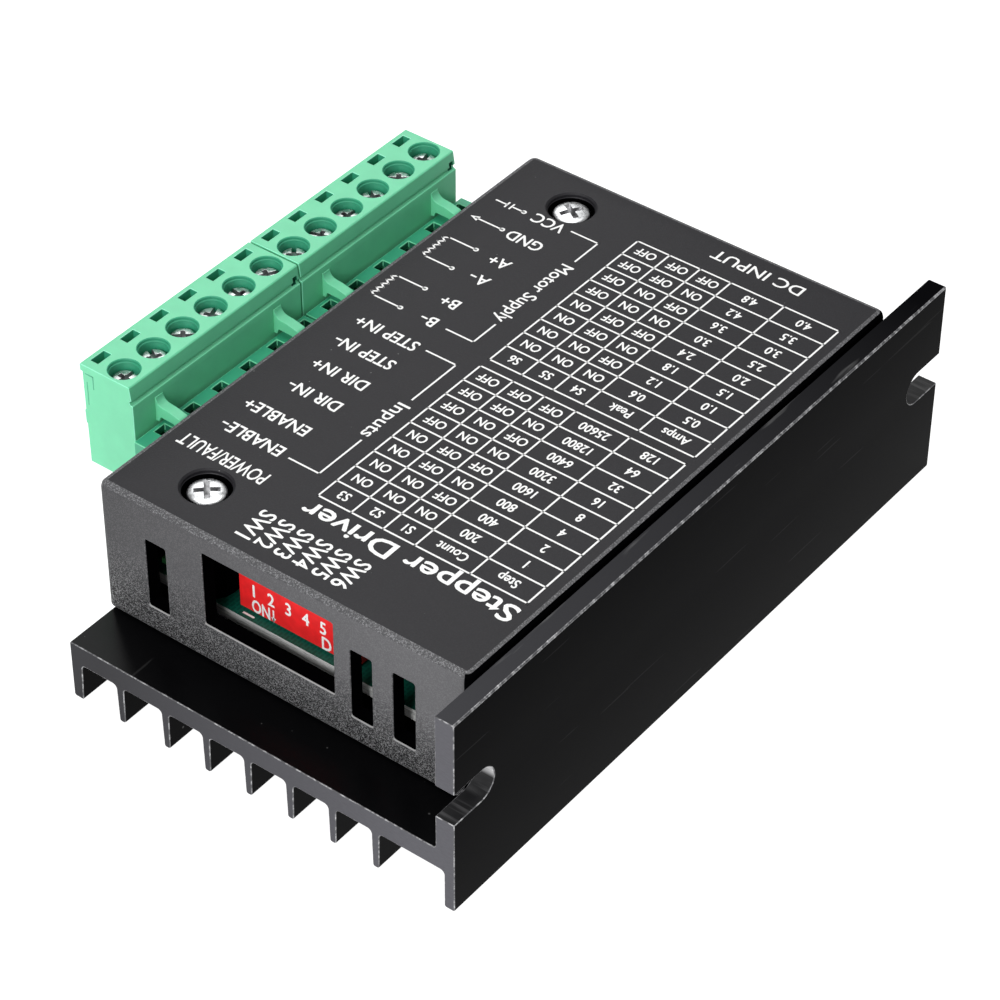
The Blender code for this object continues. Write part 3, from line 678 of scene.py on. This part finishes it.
def cut_front_and_rear(cover):
    """The switch window in the front end, and the vents in both ends."""
    front, rear, depth = COVER_LOW[1] - 1, COVER_HIGH[1] - COVER_WALL - 1, COVER_WALL + 2
    window = rounded(rectangle(WINDOW_X[0], WINDOW_Z[0], WINDOW_X[1], WINDOW_Z[1], 0.25), 3)
    # The window's and vents' sides are painted near black as shade.
    cut(cover, prism("window", window, front, depth, "Y", COVER_SHADE_SLOT))
    for x_low, x_high in VENT_XS:
        vent = rounded(rectangle(x_low, VENT_Z[0], x_high, VENT_Z[1], 0.3), 3)
        cut(cover, prism("vent_front", vent, front, depth, "Y", COVER_SHADE_SLOT))
        cut(cover, prism("vent_rear", vent, rear, depth, "Y", COVER_SHADE_SLOT))


def make_cover():
    """The shell: bevelled top, screw recesses and posts, window, vents and the headers' opening."""
    (x0, y0, z0), (x1, y1, z1) = COVER_LOW, COVER_HIGH
    outline = rounded(rectangle(x0, y0, x1, y1, COVER_CORNER), 8)
    cover = prism("cover_shape", outline, z0, z1 - z0, "Z")
    give_paints(cover, (COVER_TOP_PAINT, COVER_SIDE_PAINT, COVER_RIM_HIGHLIGHT, COVER_SHADE, COVER_EDGE_HIGHLIGHT))
    # The top rim's bevel is painted paler as a highlight.
    soften(cover, COVER_RIM, lambda m: m.z > z1 - 0.01, segments=3, slot=RIM_HIGHLIGHT_SLOT)
    for polygon in cover.data.polygons:
        # Painted shade: the right side, across a narrow gap from the heatsink's wall, is painted near black.
        if polygon.normal.x > 0.3:
            polygon.material_index = COVER_SHADE_SLOT
        elif abs(polygon.normal.z) < 0.3:
            polygon.material_index = SIDE_SLOT
    wall = COVER_WALL
    inside = rounded(rectangle(x0 + wall, y0 + wall, x1 - wall, y1 - wall, 0.6), 4)
    # The faces inside the shell, its posts, recesses, bores and the headers' opening are painted near black
    # as shade.
    cut(cover, prism("inside", inside, z0 - 1, z1 - z0 + 1 - wall, "Z", COVER_SHADE_SLOT))
    centres = [plan_centre(f"cover_screw_{place}") for place in SCREW_PLACES]
    posts = drum(POST_R, BOARD_TOP + GAP, z1 - wall + 0.5)
    join(cover, turned("posts", posts, centres, 48, COVER_SHADE_SLOT))
    rim = [(0, z1 + 1), (RECESS_R + 0.3, z1 + 1), (RECESS_R + 0.3, z1), (RECESS_R + 0.08, z1 - 0.2),
           (RECESS_R + 0.08, z1 - 0.55), (RECESS_R, z1 - 0.65), (0, z1 - 0.65)]
    cut(cover, turned("recess_rims", rim, centres, 64))
    cut(cover, turned("recesses", drum(RECESS_R, RECESS_FLOOR, z1), centres, 64, COVER_SHADE_SLOT))
    bores = drum(SCREW_HOLE_R, BOARD_TOP - 1, RECESS_FLOOR + 0.5)
    cut(cover, turned("bores", bores, centres, 32, COVER_SHADE_SLOT))
    cut_front_and_rear(cover)
    low, high = mm_box("header_signal")[0][1] - 0.35, mm_box("header_power")[1][1] + 0.35
    opening = [((x0 - 1, low, z0 - 1), (x0 + wall + 0.4, high, COVER_OPENING_TOP))]
    cut(cover, boxes("header_opening", opening, COVER_SHADE_SLOT))
    # The small rounded edges of the ends, foot and left side get the same painted highlight.
    soften(cover, 0.13, lambda m: (m.y < y0 + 0.01 or m.y > y1 - 0.01 or m.z < z0 + 0.01 or m.x < x0 + 0.01)
           and m.z < z1 - 1.2, angle=60, slot=RIM_HIGHLIGHT_SLOT)
    # Painted highlight: the upward-facing rounded edges low on the front, at the foot of the window and
    # vents, are painted pale.
    for polygon in cover.data.polygons:
        middle, rounding = polygon.center, polygon.material_index == RIM_HIGHLIGHT_SLOT
        if rounding and middle.y < y0 + 0.2 and middle.z < 20 and polygon.normal.z > 0.2:
            polygon.material_index = EDGE_HIGHLIGHT_SLOT
    finish_piece(cover, "cover_shell", "chassis", ["cover"])


# ---- screws ----

THREAD_PITCH = 0.5
RECESS_SHADE_SLOT = 1


def driver_wing(centre, top, reach, depth, width, angle, taper=1.0):
    """One wing of a screwdriver's recess, standing on the screw's axis and turned about it."""
    shape = bmesh.new()
    foot = reach * taper
    wing = [(-reach, top + 0.3), (reach, top + 0.3), (foot, top - depth), (-foot, top - depth)]
    verts = add_prism(shape, wing, -width / 2, width, "Y")
    bmesh.ops.rotate(shape, verts=verts, cent=(0, 0, 0), matrix=Matrix.Rotation(radians(angle), 3, "Z"))
    bmesh.ops.translate(shape, verts=verts, vec=(*centre, 0))
    return shape_object("wing", shape, RECESS_SHADE_SLOT)


def make_screw(node, body, profile, steps, wings, rounding, head):
    """Turns a profile, cuts a screwdriver's wings into it and rounds the edges of its head."""
    centre, top = plan_centre(node), mm_box(node)[1][2]
    screw = turned(node + "_shape", profile, [centre], steps)
    give_paints(screw, (ZINC, RECESS_SHADE_METAL))
    # The recesses' faces take the darker metal as painted shade.
    for wing in wings:
        cut(screw, driver_wing(centre, top, *wing))
    soften(screw, rounding, lambda m: m.z > top - head, angle=40)
    finish_piece(screw, node + "_bright", body, [node])


def make_pan_screw(node, turn):
    """A pan-head screw: domed top, rolled edge, cross recess, shank down into the heatsink."""
    (low_x, _, foot), (high_x, _, top) = mm_box(node)
    radius, under = (high_x - low_x) / 2 - 0.1, top - 1.85
    dome = [(radius * sin(radians(a)), top - 0.6 + 0.6 * cos(radians(a)) ** 0.55) for a in range(0, 91, 6)]
    threads = []
    for turn_index in range(int((under - foot - 1.5) / THREAD_PITCH)):
        z = under - 1.0 - THREAD_PITCH * turn_index
        threads += [(1.2, z), (1.0, z - THREAD_PITCH / 2)]
    profile = [*dome, (radius, under + 0.1), (radius - 0.1, under), (1.2, under), *threads,
               (0.8, foot), (0, foot)]
    wings = [(1.85, 1.3, 0.72, angle, 0.3) for angle in (turn, turn + 90)]
    make_screw(node, "chassis", profile, 48, wings, 0.05, 1.2)


def make_terminal_screw(number):
    """A flat-topped clamp screw with one full slot and a short cross arm, each turned its own way."""
    node = f"terminal_screw_{number}"
    (low_x, _, foot), (high_x, _, top) = mm_box(node)
    radius, under = (high_x - low_x) / 2, WELL_FLOOR + 0.3
    profile = [(0, top), (radius - 0.25, top), (radius - 0.1, top - 0.06), (radius, top - 0.25),
               (radius, under), (1.0, under), (1.0, foot + 0.3), (0.7, foot), (0, foot)]
    turn = (20 + 67 * number) % 180
    wings = [(radius + 0.3, 0.8, 0.6, turn), (0.95, 0.8, 0.6, turn + 90)]
    make_screw(node, node, profile, 40, wings, 0.04, 0.5)


# ---- terminal blocks ----

def pole_ys(first_y):
    return [first_y + PITCH * (pole + 0.5) for pole in range(POLES)]


def pole_boxes(name, ys, x, across, z, slot=0):
    """One box at each pole: x and z are its limits, across its limits about the pole's middle."""
    return boxes(name, [((x[0], y + across[0], z[0]), (x[1], y + across[1], z[1])) for y in ys], slot)


def plug_corners(low, high):
    """Section of a plug's body, seen from its front end, from its lip round its foot to its back."""
    outer, back, top, foot = low[0], PLUG_BACK, high[2], low[2]
    front = [(outer, top - 1.0, 0.1), (outer + 0.37, top - 1.0, 0), (outer + 0.42, 22.4, 0),
             (outer + 0.25, 22.2, 0), (outer + 0.3, 20.4, 0), (outer + 0.48, 20.2, 0),
             (outer + 0.55, foot, 0.15)]
    ledge = [(back, foot, 0.15), (back, top - 2.6, 0.1), (back - 0.3, top - 2.52, 0),
             (back - 0.45, top - 2.4, 0), (back - 0.45, top - 2.0, 0), (back - 0.15, top - 1.9, 0.08)]
    return front + ledge + [(back - 0.42, top - 0.12, 0), (back - 0.55, top, 0), (outer, top, 0.12)]


def hook_corners(under):
    """A latch hook's side view, from its root on the plug down to its lip over the header."""
    return [(HOOK_ROOT, 25.5, 0), (-6.97, 25.5, 0), (-6.8, 24.45, 1.1), (-4.9, 24.25, 0.8),
            (-3.4, 23.9, 0.5), (-2.8, 23.3, 0.3), (-2.7, under, 0.1), (-3.6, under, 0.1),
            (-4.3, under + 0.7, 0.2), (-6.35, under + 0.75, 0.2), (-6.6, under, 0.1), (HOOK_ROOT, under, 0)]


def well_profile(top):
    """The well over a terminal screw, with a stepped mouth."""
    mouth, lip, bore = WELL_R + 0.14, WELL_R + 0.03, WELL_R - 0.08
    return [(0, top + 1), (mouth, top + 1), (mouth, top), (lip, top - 0.1), (lip, top - 0.42),
            (bore, top - 0.5), (bore, WELL_FLOOR), (0, WELL_FLOOR)]


HIGHLIGHT_SLOT, SHADE_SLOT, SOFT_SHADE_SLOT = range(1, 4)


def add_hooks(plug, first_y, under):
    for offset in HOOK_OFFSETS:
        hook = prism("hook", rounded(hook_corners(under), 5), first_y + offset, HOOK_WIDTH, "Y")
        give_paints(hook, (GREEN, GREEN_HIGHLIGHT))
        # The hook's rounded edges are painted pale as a highlight.
        soften(hook, 0.08, angle=60, slot=HIGHLIGHT_SLOT)
        hook.data.materials.clear()
        join(plug, hook)


def cut_probe_slots(plug, low, top, ys):
    shape = bmesh.new()
    for y in ys:
        corners = rectangle(low[0] + PROBE_NEAR, y - PROBE_HALF, low[0] + PROBE_FAR, y + PROBE_HALF, 0.06)
        add_prism(shape, rounded(corners, 2), top - 3, 4, "Z")
    # The probe slots' walls are painted darker green as shade.
    cut(plug, shape_object("probes", shape, SOFT_SHADE_SLOT))


def cut_wire_ways(plug, low, high, ys):
    """Room for the clamp cages and screw shanks, the wire entries, and the sockets for the pins."""
    half = (CAGE_HIGH[1] - CAGE_LOW[1]) / 2 + GAP
    cut(plug, pole_boxes("cage_spaces", ys, (CAGE_LOW[0] - GAP, CAGE_HIGH[0] + GAP), (-half, half),
                         (CAGE_LOW[2] - GAP, CAGE_HIGH[2] + CAGE_ROOM_ABOVE)))
    cut(plug, turned("shank_bores", drum(1.3, 22.4, WELL_FLOOR + 0.5), [(POLE_X, y) for y in ys], 32))
    cut(plug, pole_boxes("entries", ys, (low[0] - 1, CAGE_LOW[0]), ENTRY_Y, ENTRY_Z))
    soften(plug, 0.25, lambda m: m.x < low[0] + 0.6 and ENTRY_Z[0] - 0.1 < m.z < ENTRY_Z[1] + 0.1
           and low[1] + 0.3 < m.y < high[1] - 0.3, angle=60, segments=1)
    cut(plug, pole_boxes("sockets", ys, SOCKET_X, SOCKET_Y, SOCKET_Z))


def make_plug_lines(block, face, top):
    """Fine moulded lines on the plug's front end face, drawn as thin slabs painted darker green as the shade
    in them.
    """
    marks = [((-14.35, face - 0.02, top - 1.2), (-13.1, face + 0.1, top - 1.08)),
             ((-13.22, face - 0.02, top - 3.0), (-13.1, face + 0.1, top - 1.08)),
             ((-14.2, face - 0.02, top - 5.7), (-14.1, face + 0.1, top - 2.3))]
    lines = boxes(f"plug_{block}_lines_shape", marks)
    give_paints(lines, (GREEN_SOFT_SHADE,))
    finish_piece(lines, f"plug_{block}_lines", f"{block}_plug", ())


def make_plug(block, first_y):
    """The pluggable part: wells over the screws, probe slots, wire entries, latch hooks, nose."""
    low, high = mm_box(f"plug_{block}")
    top = high[2]
    plug = prism(f"plug_{block}_shape", rounded(plug_corners(low, high), 3), low[1], high[1] - low[1], "Y")
    give_paints(plug, (GREEN, GREEN_HIGHLIGHT, GREEN_SHADE, GREEN_SOFT_SHADE))
    # The end edges are painted pale green as a highlight.
    soften(plug, 0.07, lambda m: min(m.y - low[1], high[1] - m.y) < 0.01, angle=60, slot=HIGHLIGHT_SLOT)
    header_low, header_high = mm_box(f"header_{block}")
    shelf, end = HEADER_WALL + GAP, HEADER_WALL + 0.4
    nose = [((NOSE_X[0], low[1] + end, header_low[2] + 3.0 + shelf),
             (NOSE_X[1], high[1] - end, header_high[2] - shelf))]
    join(plug, boxes("nose", nose))
    ys = pole_ys(first_y)
    ceiling = header_high[2] - shelf
    cut(plug, pole_boxes("key_grooves", ys, (header_low[0] + KEY_X[0] - GAP, SOCKET_X[1]), KEY_Y,
                         (ceiling - 1.6, ceiling + 1), SHADE_SLOT))
    add_hooks(plug, first_y, header_high[2] + GAP)
    # The wells' walls are painted darker green as shade.
    cut(plug, turned("wells", well_profile(top), [(POLE_X, y) for y in ys], 64, SOFT_SHADE_SLOT))
    cut_probe_slots(plug, low, top, ys)
    # Rounded top edges over the plug's front part, round the wells and probe slots, get the painted
    # highlight.
    soften(plug, 0.07, lambda m: m.z > top - 0.01 and low[0] + 0.3 < m.x < -7.9, angle=60, slot=HIGHLIGHT_SLOT)
    cut_wire_ways(plug, low, high, ys)
    notch = [((-8.3, high[1] - 1.15, top - 2.5), (-6.0, high[1] - 0.4, top - 1.25))]
    cut(plug, boxes("key_notch", notch, SHADE_SLOT))
    make_plug_lines(block, low[1], top)
    finish_piece(plug, f"plug_{block}_body", f"{block}_plug", [f"plug_{block}"])


HEADER_HIGHLIGHT_SLOT, KEY_SLOT = 1, 2


def make_header(block, first_y):
    """The board-side shroud with its polarising notches, and its row of square pins."""
    low, high = mm_box(f"header_{block}")
    floor = BOARD_TOP + GAP
    header = boxes(f"header_{block}_shape", [((low[0], low[1], floor), (HEADER_BACK, high[1], high[2]))])
    # The shroud is painted darker green as shade; its rounded edges keep the plain green as a painted
    # highlight, and its keys the shade green.
    give_paints(header, (GREEN_SOFT_SHADE, GREEN, GREEN_SHADE))
    wall = HEADER_WALL
    pocket = [((low[0] - 1, low[1] + wall, floor + wall),
               (HEADER_BACK - 2.9, high[1] - wall, high[2] - wall))]
    cut(header, boxes("pocket", pocket))
    ys = pole_ys(first_y)
    cut(header, pole_boxes("keys", ys, (low[0] + KEY_X[0], low[0] + KEY_X[1]), KEY_Y,
                           (high[2] - wall - 0.5, high[2] + 1), KEY_SLOT))
    soften(header, 0.1, angle=60, slot=HEADER_HIGHLIGHT_SLOT)
    finish_piece(header, f"header_{block}_shroud", "chassis", [f"header_{block}"])
    make_pins(block, low, high, ys)


def make_pins(block, low, high, ys):
    """Square pins bent down through the board, drawn in at their tips and feet."""
    pins = bmesh.new()
    half = PIN_HALF
    level = (BOARD_TOP + GAP + high[2]) / 2
    for y in ys:
        arm = add_box(pins, (PIN_TIP_X, y - half, level - half), (high[0], y + half, level + half))
        tips = [v for v in arm if v.co.x < 0]
        bmesh.ops.scale(pins, verts=tips, vec=(1, 0.45, 0.45), space=Matrix.Translation((0, -y, -level)))
        leg = add_box(pins, (high[0] - 1, y - half, low[2]), (high[0], y + half, level - half))
        feet = [v for v in leg if v.co.z < level - 1]
        middle = Matrix.Translation((half - high[0], -y, 0))
        bmesh.ops.scale(pins, verts=feet, vec=(0.6, 0.6, 1), space=middle)
    row = shape_object(f"pins_{block}_shape", pins)
    give_paints(row, (TIN,))
    soften(row, 0.08, angle=40)
    finish_piece(row, f"header_{block}_pins", "chassis", ())


# ---- DIP switch ----

def make_dip_switch():
    body = boxes("dip_shape", [(DIP_LOW, DIP_HIGH)])
    give_paints(body, (DIP_RED,))
    slots = []
    for number in range(1, DIP_WAYS + 1):
        low, high = mm_box(f"dip_lever_{number}")
        slots.append(((low[0] - LEVER_SIDE_GAP, DIP_LOW[1] - 1, LEVER_SLOT_Z[0]),
                      (high[0] + LEVER_SIDE_GAP, high[1] + GAP, LEVER_SLOT_Z[1])))
    cut(body, boxes("lever_slots", slots))
    soften(body, 0.08, angle=60)
    finish_piece(body, "dip_switch_housing", "chassis", ["dip_switch_body"])


# ---- printed legends ----

def word_mesh(words):
    """Words in Blender's built-in font at size 1, as a flat mesh."""
    curve = bpy.data.curves.new("words", "FONT")
    curve.body = words
    curve.resolution_u = 3
    curve.fill_mode = "FRONT"
    drawn = add_object("words", curve)
    mesh = evaluated_mesh(drawn)
    bpy.data.objects.remove(drawn, do_unlink=True)
    bpy.data.curves.remove(curve)
    return mesh


CAP_HEIGHT = max(vertex.co.y for vertex in word_mesh("H").vertices)
INK_LAYER = 0.001


class Legend:
    """Ink on one face: text and strokes, laid out in millimetres across and down from its corner."""

    def __init__(self, name, origin, right, down, thickness=0.015):
        self.name = name
        self.origin = Vector(origin)
        self.right = Vector(right)
        self.down = Vector(down)
        self.out = self.down.cross(self.right)
        self.thickness = thickness
        self.shape = bmesh.new()

    def place(self, across, down, height):
        return self.origin + self.right * across + self.down * down + self.out * height

    def add_outline(self, points):
        """A closed outline of (across, down) points as a thin slab of ink."""
        base = [self.shape.verts.new(self.place(a, b, 0.0)) for a, b in points]
        face = [self.shape.verts.new(self.place(a, b, self.thickness)) for a, b in points]
        self.shape.faces.new(face)
        for index in range(len(points)):
            self.shape.faces.new((base[index - 1], base[index], face[index], face[index - 1]))

    def stroke(self, start, end, width):
        """A straight printed line between two points, running on past each by half its width."""
        along = (Vector(end) - Vector(start)).normalized() * width
        side = Vector((-along.y, along.x)) / 2
        a, b = Vector(start) - along / 2, Vector(end) + along / 2
        self.add_outline([a + side, a - side, b - side, b + side])

    def polyline(self, points, width):
        for start, end in zip(points, points[1:]):
            self.stroke(start, end, width)

    def dot(self, centre, radius):
        x, y = centre
        turn = [2 * pi * k / 20 for k in range(20)]
        self.add_outline([(x + radius * cos(a), y + radius * sin(a)) for a in turn])

    def text(self, words, across, baseline, height, width=None, align="left", turned_up=False, bold=0.03,
             condense=0.82):
        """Words of a cap height, thickened by three shifted copies; returns where they end."""
        mesh = word_mesh(words)
        xs = [v.co.x for v in mesh.vertices]
        up = height / CAP_HEIGHT
        along = width / (max(xs) - min(xs)) if width else up * condense
        start = {"left": min(xs), "centre": (min(xs) + max(xs)) / 2}[align]
        for copy in range(3):
            shift = radians(90 + 120 * copy)
            layer = self.thickness + INK_LAYER * copy
            made = []
            for vertex in mesh.vertices:
                u = (vertex.co.x - start) * along + bold * cos(shift)
                v = vertex.co.y * up + bold * sin(shift)
                spot = (across - v, baseline - u) if turned_up else (across + u, baseline - v)
                made.append(self.shape.verts.new(self.place(*spot, layer)))
            for polygon in mesh.polygons:
                self.shape.faces.new([made[index] for index in polygon.vertices])
        return across + (max(xs) - start) * along

    def finish(self):
        """Turns the ink into a white piece that rides on the chassis."""
        loose = [v for v in self.shape.verts if not v.link_faces]
        bmesh.ops.delete(self.shape, geom=loose, context="VERTS")
        mesh = bpy.data.meshes.new(self.name)
        bmesh.ops.recalc_face_normals(self.shape, faces=self.shape.faces)
        for face in self.shape.faces:
            if face.normal.dot(self.out) < -0.5:
                face.normal_flip()
        self.shape.to_mesh(mesh)
        self.shape.free()
        obj = add_object(self.name, mesh)
        give_paints(obj, (WHITE_INK,))
        mesh.transform(TO_WORLD)
        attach(obj, "chassis")


LINE, DOT_R = 0.23, 0.36
SYMBOL_START = 46.9
COLUMNS = (3.05, 10.87, 18.6, 23.1, 27.67, 32.45)
TABLE_ROW = 3.3
TERMINALS = (("ENABLE-", 40.5, 16.9), ("ENABLE+", 40.5, 21.45), ("DIR IN-", 40.5, 27.1),
             ("DIR IN+", 40.5, 32.0), ("STEP IN-", 40.5, 36.95), ("STEP IN+", 40.5, 41.45),
             ("B-", 41.65, 46.45), ("B+", 41.65, 50.75), ("A-", 41.65, 56.55), ("A+", 41.65, 60.75),
             ("GND", 40.8, 66.15), ("VCC", 40.9, 70.9))


def setting_table(heading, values):
    """A heading row, then a row for each pair of values, with three switches counting in binary."""
    rows = [heading]
    for index, pair in enumerate(values):
        switches = ["OFF" if index >> bit & 1 else "ON" for bit in range(3)]
        rows.append((*pair, *switches))
    return rows


STEP_TABLE = setting_table(("Step", "Count", "S1", "S2", "S3"),
                           [(str(2 ** power), str(200 * 2 ** power)) for power in range(8)])
CURRENT_TABLE = setting_table(("Amps", "Peak", "S4", "S5", "S6"),
                              [(f"{0.5 * level:.1f}", f"{0.6 * level:.1f}") for level in range(1, 9)])


def print_table(legend, rows, top, columns):
    """Ruled lines and centred entries."""
    bottom = top + TABLE_ROW * len(rows)
    for index in range(len(rows) + 1):
        level = top + TABLE_ROW * index
        legend.stroke((columns[0], level), (columns[-1], level), LINE)
    for across in columns:
        legend.stroke((across, top), (across, bottom), LINE)
    for index, row in enumerate(rows):
        baseline = top + TABLE_ROW * (index + 0.5) + 0.72
        for entry, left, right in zip(row, columns, columns[1:]):
            legend.text(entry, (left + right) / 2, baseline, 1.36, align="centre", bold=0.04)


def print_coil(legend, first, last):
    """A winding's symbol: two leads with dots, joined by a zigzag."""
    for level in (first, last):
        legend.dot((SYMBOL_START, level), DOT_R)
        legend.stroke((SYMBOL_START, level), (51.1, level), LINE)
    count = 10
    step = (last - first) / count
    zigzag = [(51.0 + 0.7 * (index % 2), first + step * index) for index in range(count + 1)]
    legend.polyline([(51.1, first), *zigzag, (51.1, last)], LINE)


def print_bracket(legend, across, arm, top, bottom, words, start, end):
    """A group's bracket with its name set in its middle, reading upwards."""
    legend.polyline([(arm, top), (across, top), (across, start - 0.9)], LINE)
    legend.polyline([(across, end + 1.3), (across, bottom), (arm, bottom)], LINE)
    legend.text(words, across + 0.95, end, 1.75, end - start, turned_up=True)


def print_terminal(legend, words, across, level):
    """A terminal's name; a minus sign at its end is a short stroke."""
    end = legend.text(words.rstrip("-"), across, level + 0.9, 1.8, condense=0.88, bold=0.045)
    if words.endswith("-"):
        legend.stroke((end + 0.35, level + 0.15), (end + 0.95, level + 0.15), 0.26)


def print_supply(legend, ground=66.35, supply=70.9):
    """An arrow for the ground, and a lead broken by two plates for the supply."""
    legend.dot((SYMBOL_START, ground), DOT_R)
    legend.stroke((SYMBOL_START, ground), (51.0, ground), LINE)
    legend.add_outline([(50.6, ground - 0.5), (51.8, ground), (50.6, ground + 0.5)])
    legend.dot((47.0, supply), DOT_R)
    for start, end in ((47.0, 48.6), (49.7, 51.25)):
        legend.stroke((start, supply), (end, supply), LINE)
    for across in (48.9, 49.6):
        legend.stroke((across, supply - 0.5), (across, supply + 0.5), LINE)


def print_cover():
    """The cover's print: title, switch numbers, two setting tables, terminals with their symbols."""
    legend = Legend("cover_legends", (53, 7, COVER_TOP), (-1, 0, 0), (0, 1, 0))
    legend.text("Stepper Driver", 2.9, 12.5, 2.7, 29.6, bold=0.08)
    for number in range(1, DIP_WAYS + 1):
        across = 22.15 + 2.71 * (DIP_WAYS - number)
        legend.text(f"SW{number}", across, 8.1, 2.1, 5.0, turned_up=True, bold=0.05)
    legend.text("POWER/FAULT", 38.85, 13.1, 2.05, 12.6)
    print_table(legend, STEP_TABLE, 13.65, COLUMNS)
    print_table(legend, CURRENT_TABLE, 44.95, [across - 0.1 for across in COLUMNS])
    for words, across, level in TERMINALS:
        print_terminal(legend, words, across, level)
    print_bracket(legend, 34.8, 39.2, 16.65, 41.7, "Inputs", 25.0, 32.2)
    print_bracket(legend, 35.9, 39.9, 46.4, 71.25, "Motor Supply", 51.5, 65.3)
    print_coil(legend, 46.35, 51.1)
    print_coil(legend, 56.3, 61.1)
    print_supply(legend)
    legend.text("DC INPUT", 10.6, 79.2, 1.8, 13.0)
    legend.finish()


def print_dip():
    """The switch's own marks: its numbers, ON with an arrow, and DIP."""
    legend = Legend("dip_legends", DIP_LOW, (1, 0, 0), (0, 0, -1))
    bold = 0.06
    first = plan_centre("dip_lever_1")[0] - DIP_LOW[0] - 0.12
    for number in range(1, DIP_WAYS + 1):
        across = first + DIP_PITCH * (number - 1)
        legend.text(str(number), across, -2.35, 1.75, align="centre", bold=bold)
    legend.text("ON", 1.85, -0.1, 1.8, 2.6, bold=bold)
    legend.polyline([(5.0, -1.75), (5.0, -0.2)], 0.22)
    legend.add_outline([(4.65, -0.7), (5.35, -0.7), (5.0, 0.0)])
    legend.text("D", 12.15, -0.1, 1.8, 1.3, bold=bold)
    legend.text("IP", 14.1, -0.1, 1.8, 1.6, bold=bold)
    legend.finish()


def print_board():
    legend = Legend("board_legends", (0, 0, BOARD_TOP), (0, -1, 0), (-1, 0, 0))
    legend.text("1", -12.35, -15.95, 1.6, bold=0.06)
    legend.finish()


# ---- CAD nodes that keep their shape ----

KEPT = (
    (ZINC, [f"spacer_{number}" for number in range(1, 5)]),
    (ZINC, [f"capacitor_{number}" for number in range(1, 3)]),
    (NICKEL, [f"wire_clamp_{number}" for number in range(1, 2 * POLES + 1)]),
    (LEVER_WHITE, [f"dip_lever_{number}" for number in range(1, DIP_WAYS + 1)]),
    (SOLDER_MASK, ["circuit_board"]),
    (CHIP_BLACK, [f"optocoupler_{number}" for number in range(1, 4)]),
    (CHIP_BLACK, ["driver_chip", "sense_resistor_1", "sense_resistor_2", "voltage_regulator"]),
    (FERRITE, ["inductor"]),
    (PAD_GREY, ["thermal_pad"]),
    (LED_GREEN, ["led_power"]),
    (LED_RED, ["led_alarm"]),
)
KEPT_EDGE, KEPT_EDGE_ANGLE = 0.06, radians(50)


def dress_kept_nodes():
    """Paints the nodes that stay as the CAD has them, and rounds their edges a little."""
    for paint, nodes in KEPT:
        for node in nodes:
            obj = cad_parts[node]
            obj.data.materials.clear()
            obj.data.materials.append(paint)
            edge = obj.modifiers.new("edges", "BEVEL")
            edge.width = KEPT_EDGE * MM
            edge.segments = 2
            edge.limit_method = "ANGLE"
            edge.angle_limit = KEPT_EDGE_ANGLE


# ---- stage ----

# Metres, degrees and a lens in millimetres.
CAMERA_AIM = Vector((0.007675, -0.003638, 0.0145))
CAMERA_DISTANCE = 0.41481
CAMERA_AZIMUTH, CAMERA_ELEVATION, CAMERA_ROLL = 37.29, 40.394, 0.3546
CAMERA_LENS, SENSOR = 127.22, 36
LIGHT_AIM = (0, 0, 0.015)
LIGHTS = (
    ("key_front", (0.08, -0.6, 0.36), (0.4, 0.3), 3.6),
    ("top", (-0.1, 0.1, 0.9), (0.8, 0.8), 5.0),
    ("metal_sheen", (-0.45, 0.45, 0.53), (0.36, 0.3), 0.85),
)


def make_camera():
    """Looks down at the module from its front right, turned slightly about its line of sight."""
    azimuth, elevation = radians(CAMERA_AZIMUTH), radians(CAMERA_ELEVATION)
    forward = Vector((-sin(azimuth) * cos(elevation), cos(azimuth) * cos(elevation),
                      -sin(elevation)))
    camera = add_object("camera", bpy.data.cameras.new("camera"))
    camera.data.lens = CAMERA_LENS
    camera.data.sensor_width = SENSOR
    camera.data.clip_start = 0.01
    roll = Matrix.Rotation(radians(CAMERA_ROLL), 4, "Z")
    facing = forward.to_track_quat("-Z", "Y").to_matrix().to_4x4()
    camera.matrix_world = Matrix.Translation(CAMERA_AIM - forward * CAMERA_DISTANCE) @ facing @ roll
    bpy.context.scene.camera = camera


def add_light(name, place, size, power):
    """A rectangular lamp that faces the module."""
    light = bpy.data.lights.new(name, "AREA")
    light.shape = "RECTANGLE"
    light.size, light.size_y = size
    light.energy = power
    obj = add_object(name, light)
    obj.location = place
    obj.rotation_euler = (Vector(LIGHT_AIM) - Vector(place)).to_track_quat("-Z", "Y").to_euler()


def make_stage():
    """Pale ground, even white surroundings, lamps and camera."""
    shape = bmesh.new()
    bmesh.ops.create_grid(shape, x_segments=8, y_segments=8, size=4.0)
    floor = shape_object("floor", shape)
    give_paints(floor, (pale_floor(),))
    world = bpy.data.worlds.new("studio")
    world.use_nodes = True
    background = world.node_tree.nodes["Background"]
    background.inputs["Color"].default_value = (1, 1, 1, 1)
    background.inputs["Strength"].default_value = 0.35
    bpy.context.scene.world = world
    bpy.context.scene.view_settings.view_transform = "Standard"
    for lamp in LIGHTS:
        add_light(*lamp)
    make_camera()


make_heatsink()
make_cover()
for screw_place, turn_angle in zip(SCREW_PLACES, (42, 60)):
    make_pan_screw(f"cover_screw_{screw_place}", turn_angle)
    make_pan_screw(f"board_screw_{screw_place}", turn_angle + 20)
for block_index, block_name in enumerate(BLOCKS):
    block_start = mm_box("plug_signal")[0][1] - GAP / 2 + block_index * POLES * PITCH
    make_plug(block_name, block_start)
    make_header(block_name, block_start)
for screw_number in range(1, 2 * POLES + 1):
    make_terminal_screw(screw_number)
make_dip_switch()
print_cover()
print_dip()
print_board()
dress_kept_nodes()
make_stage()
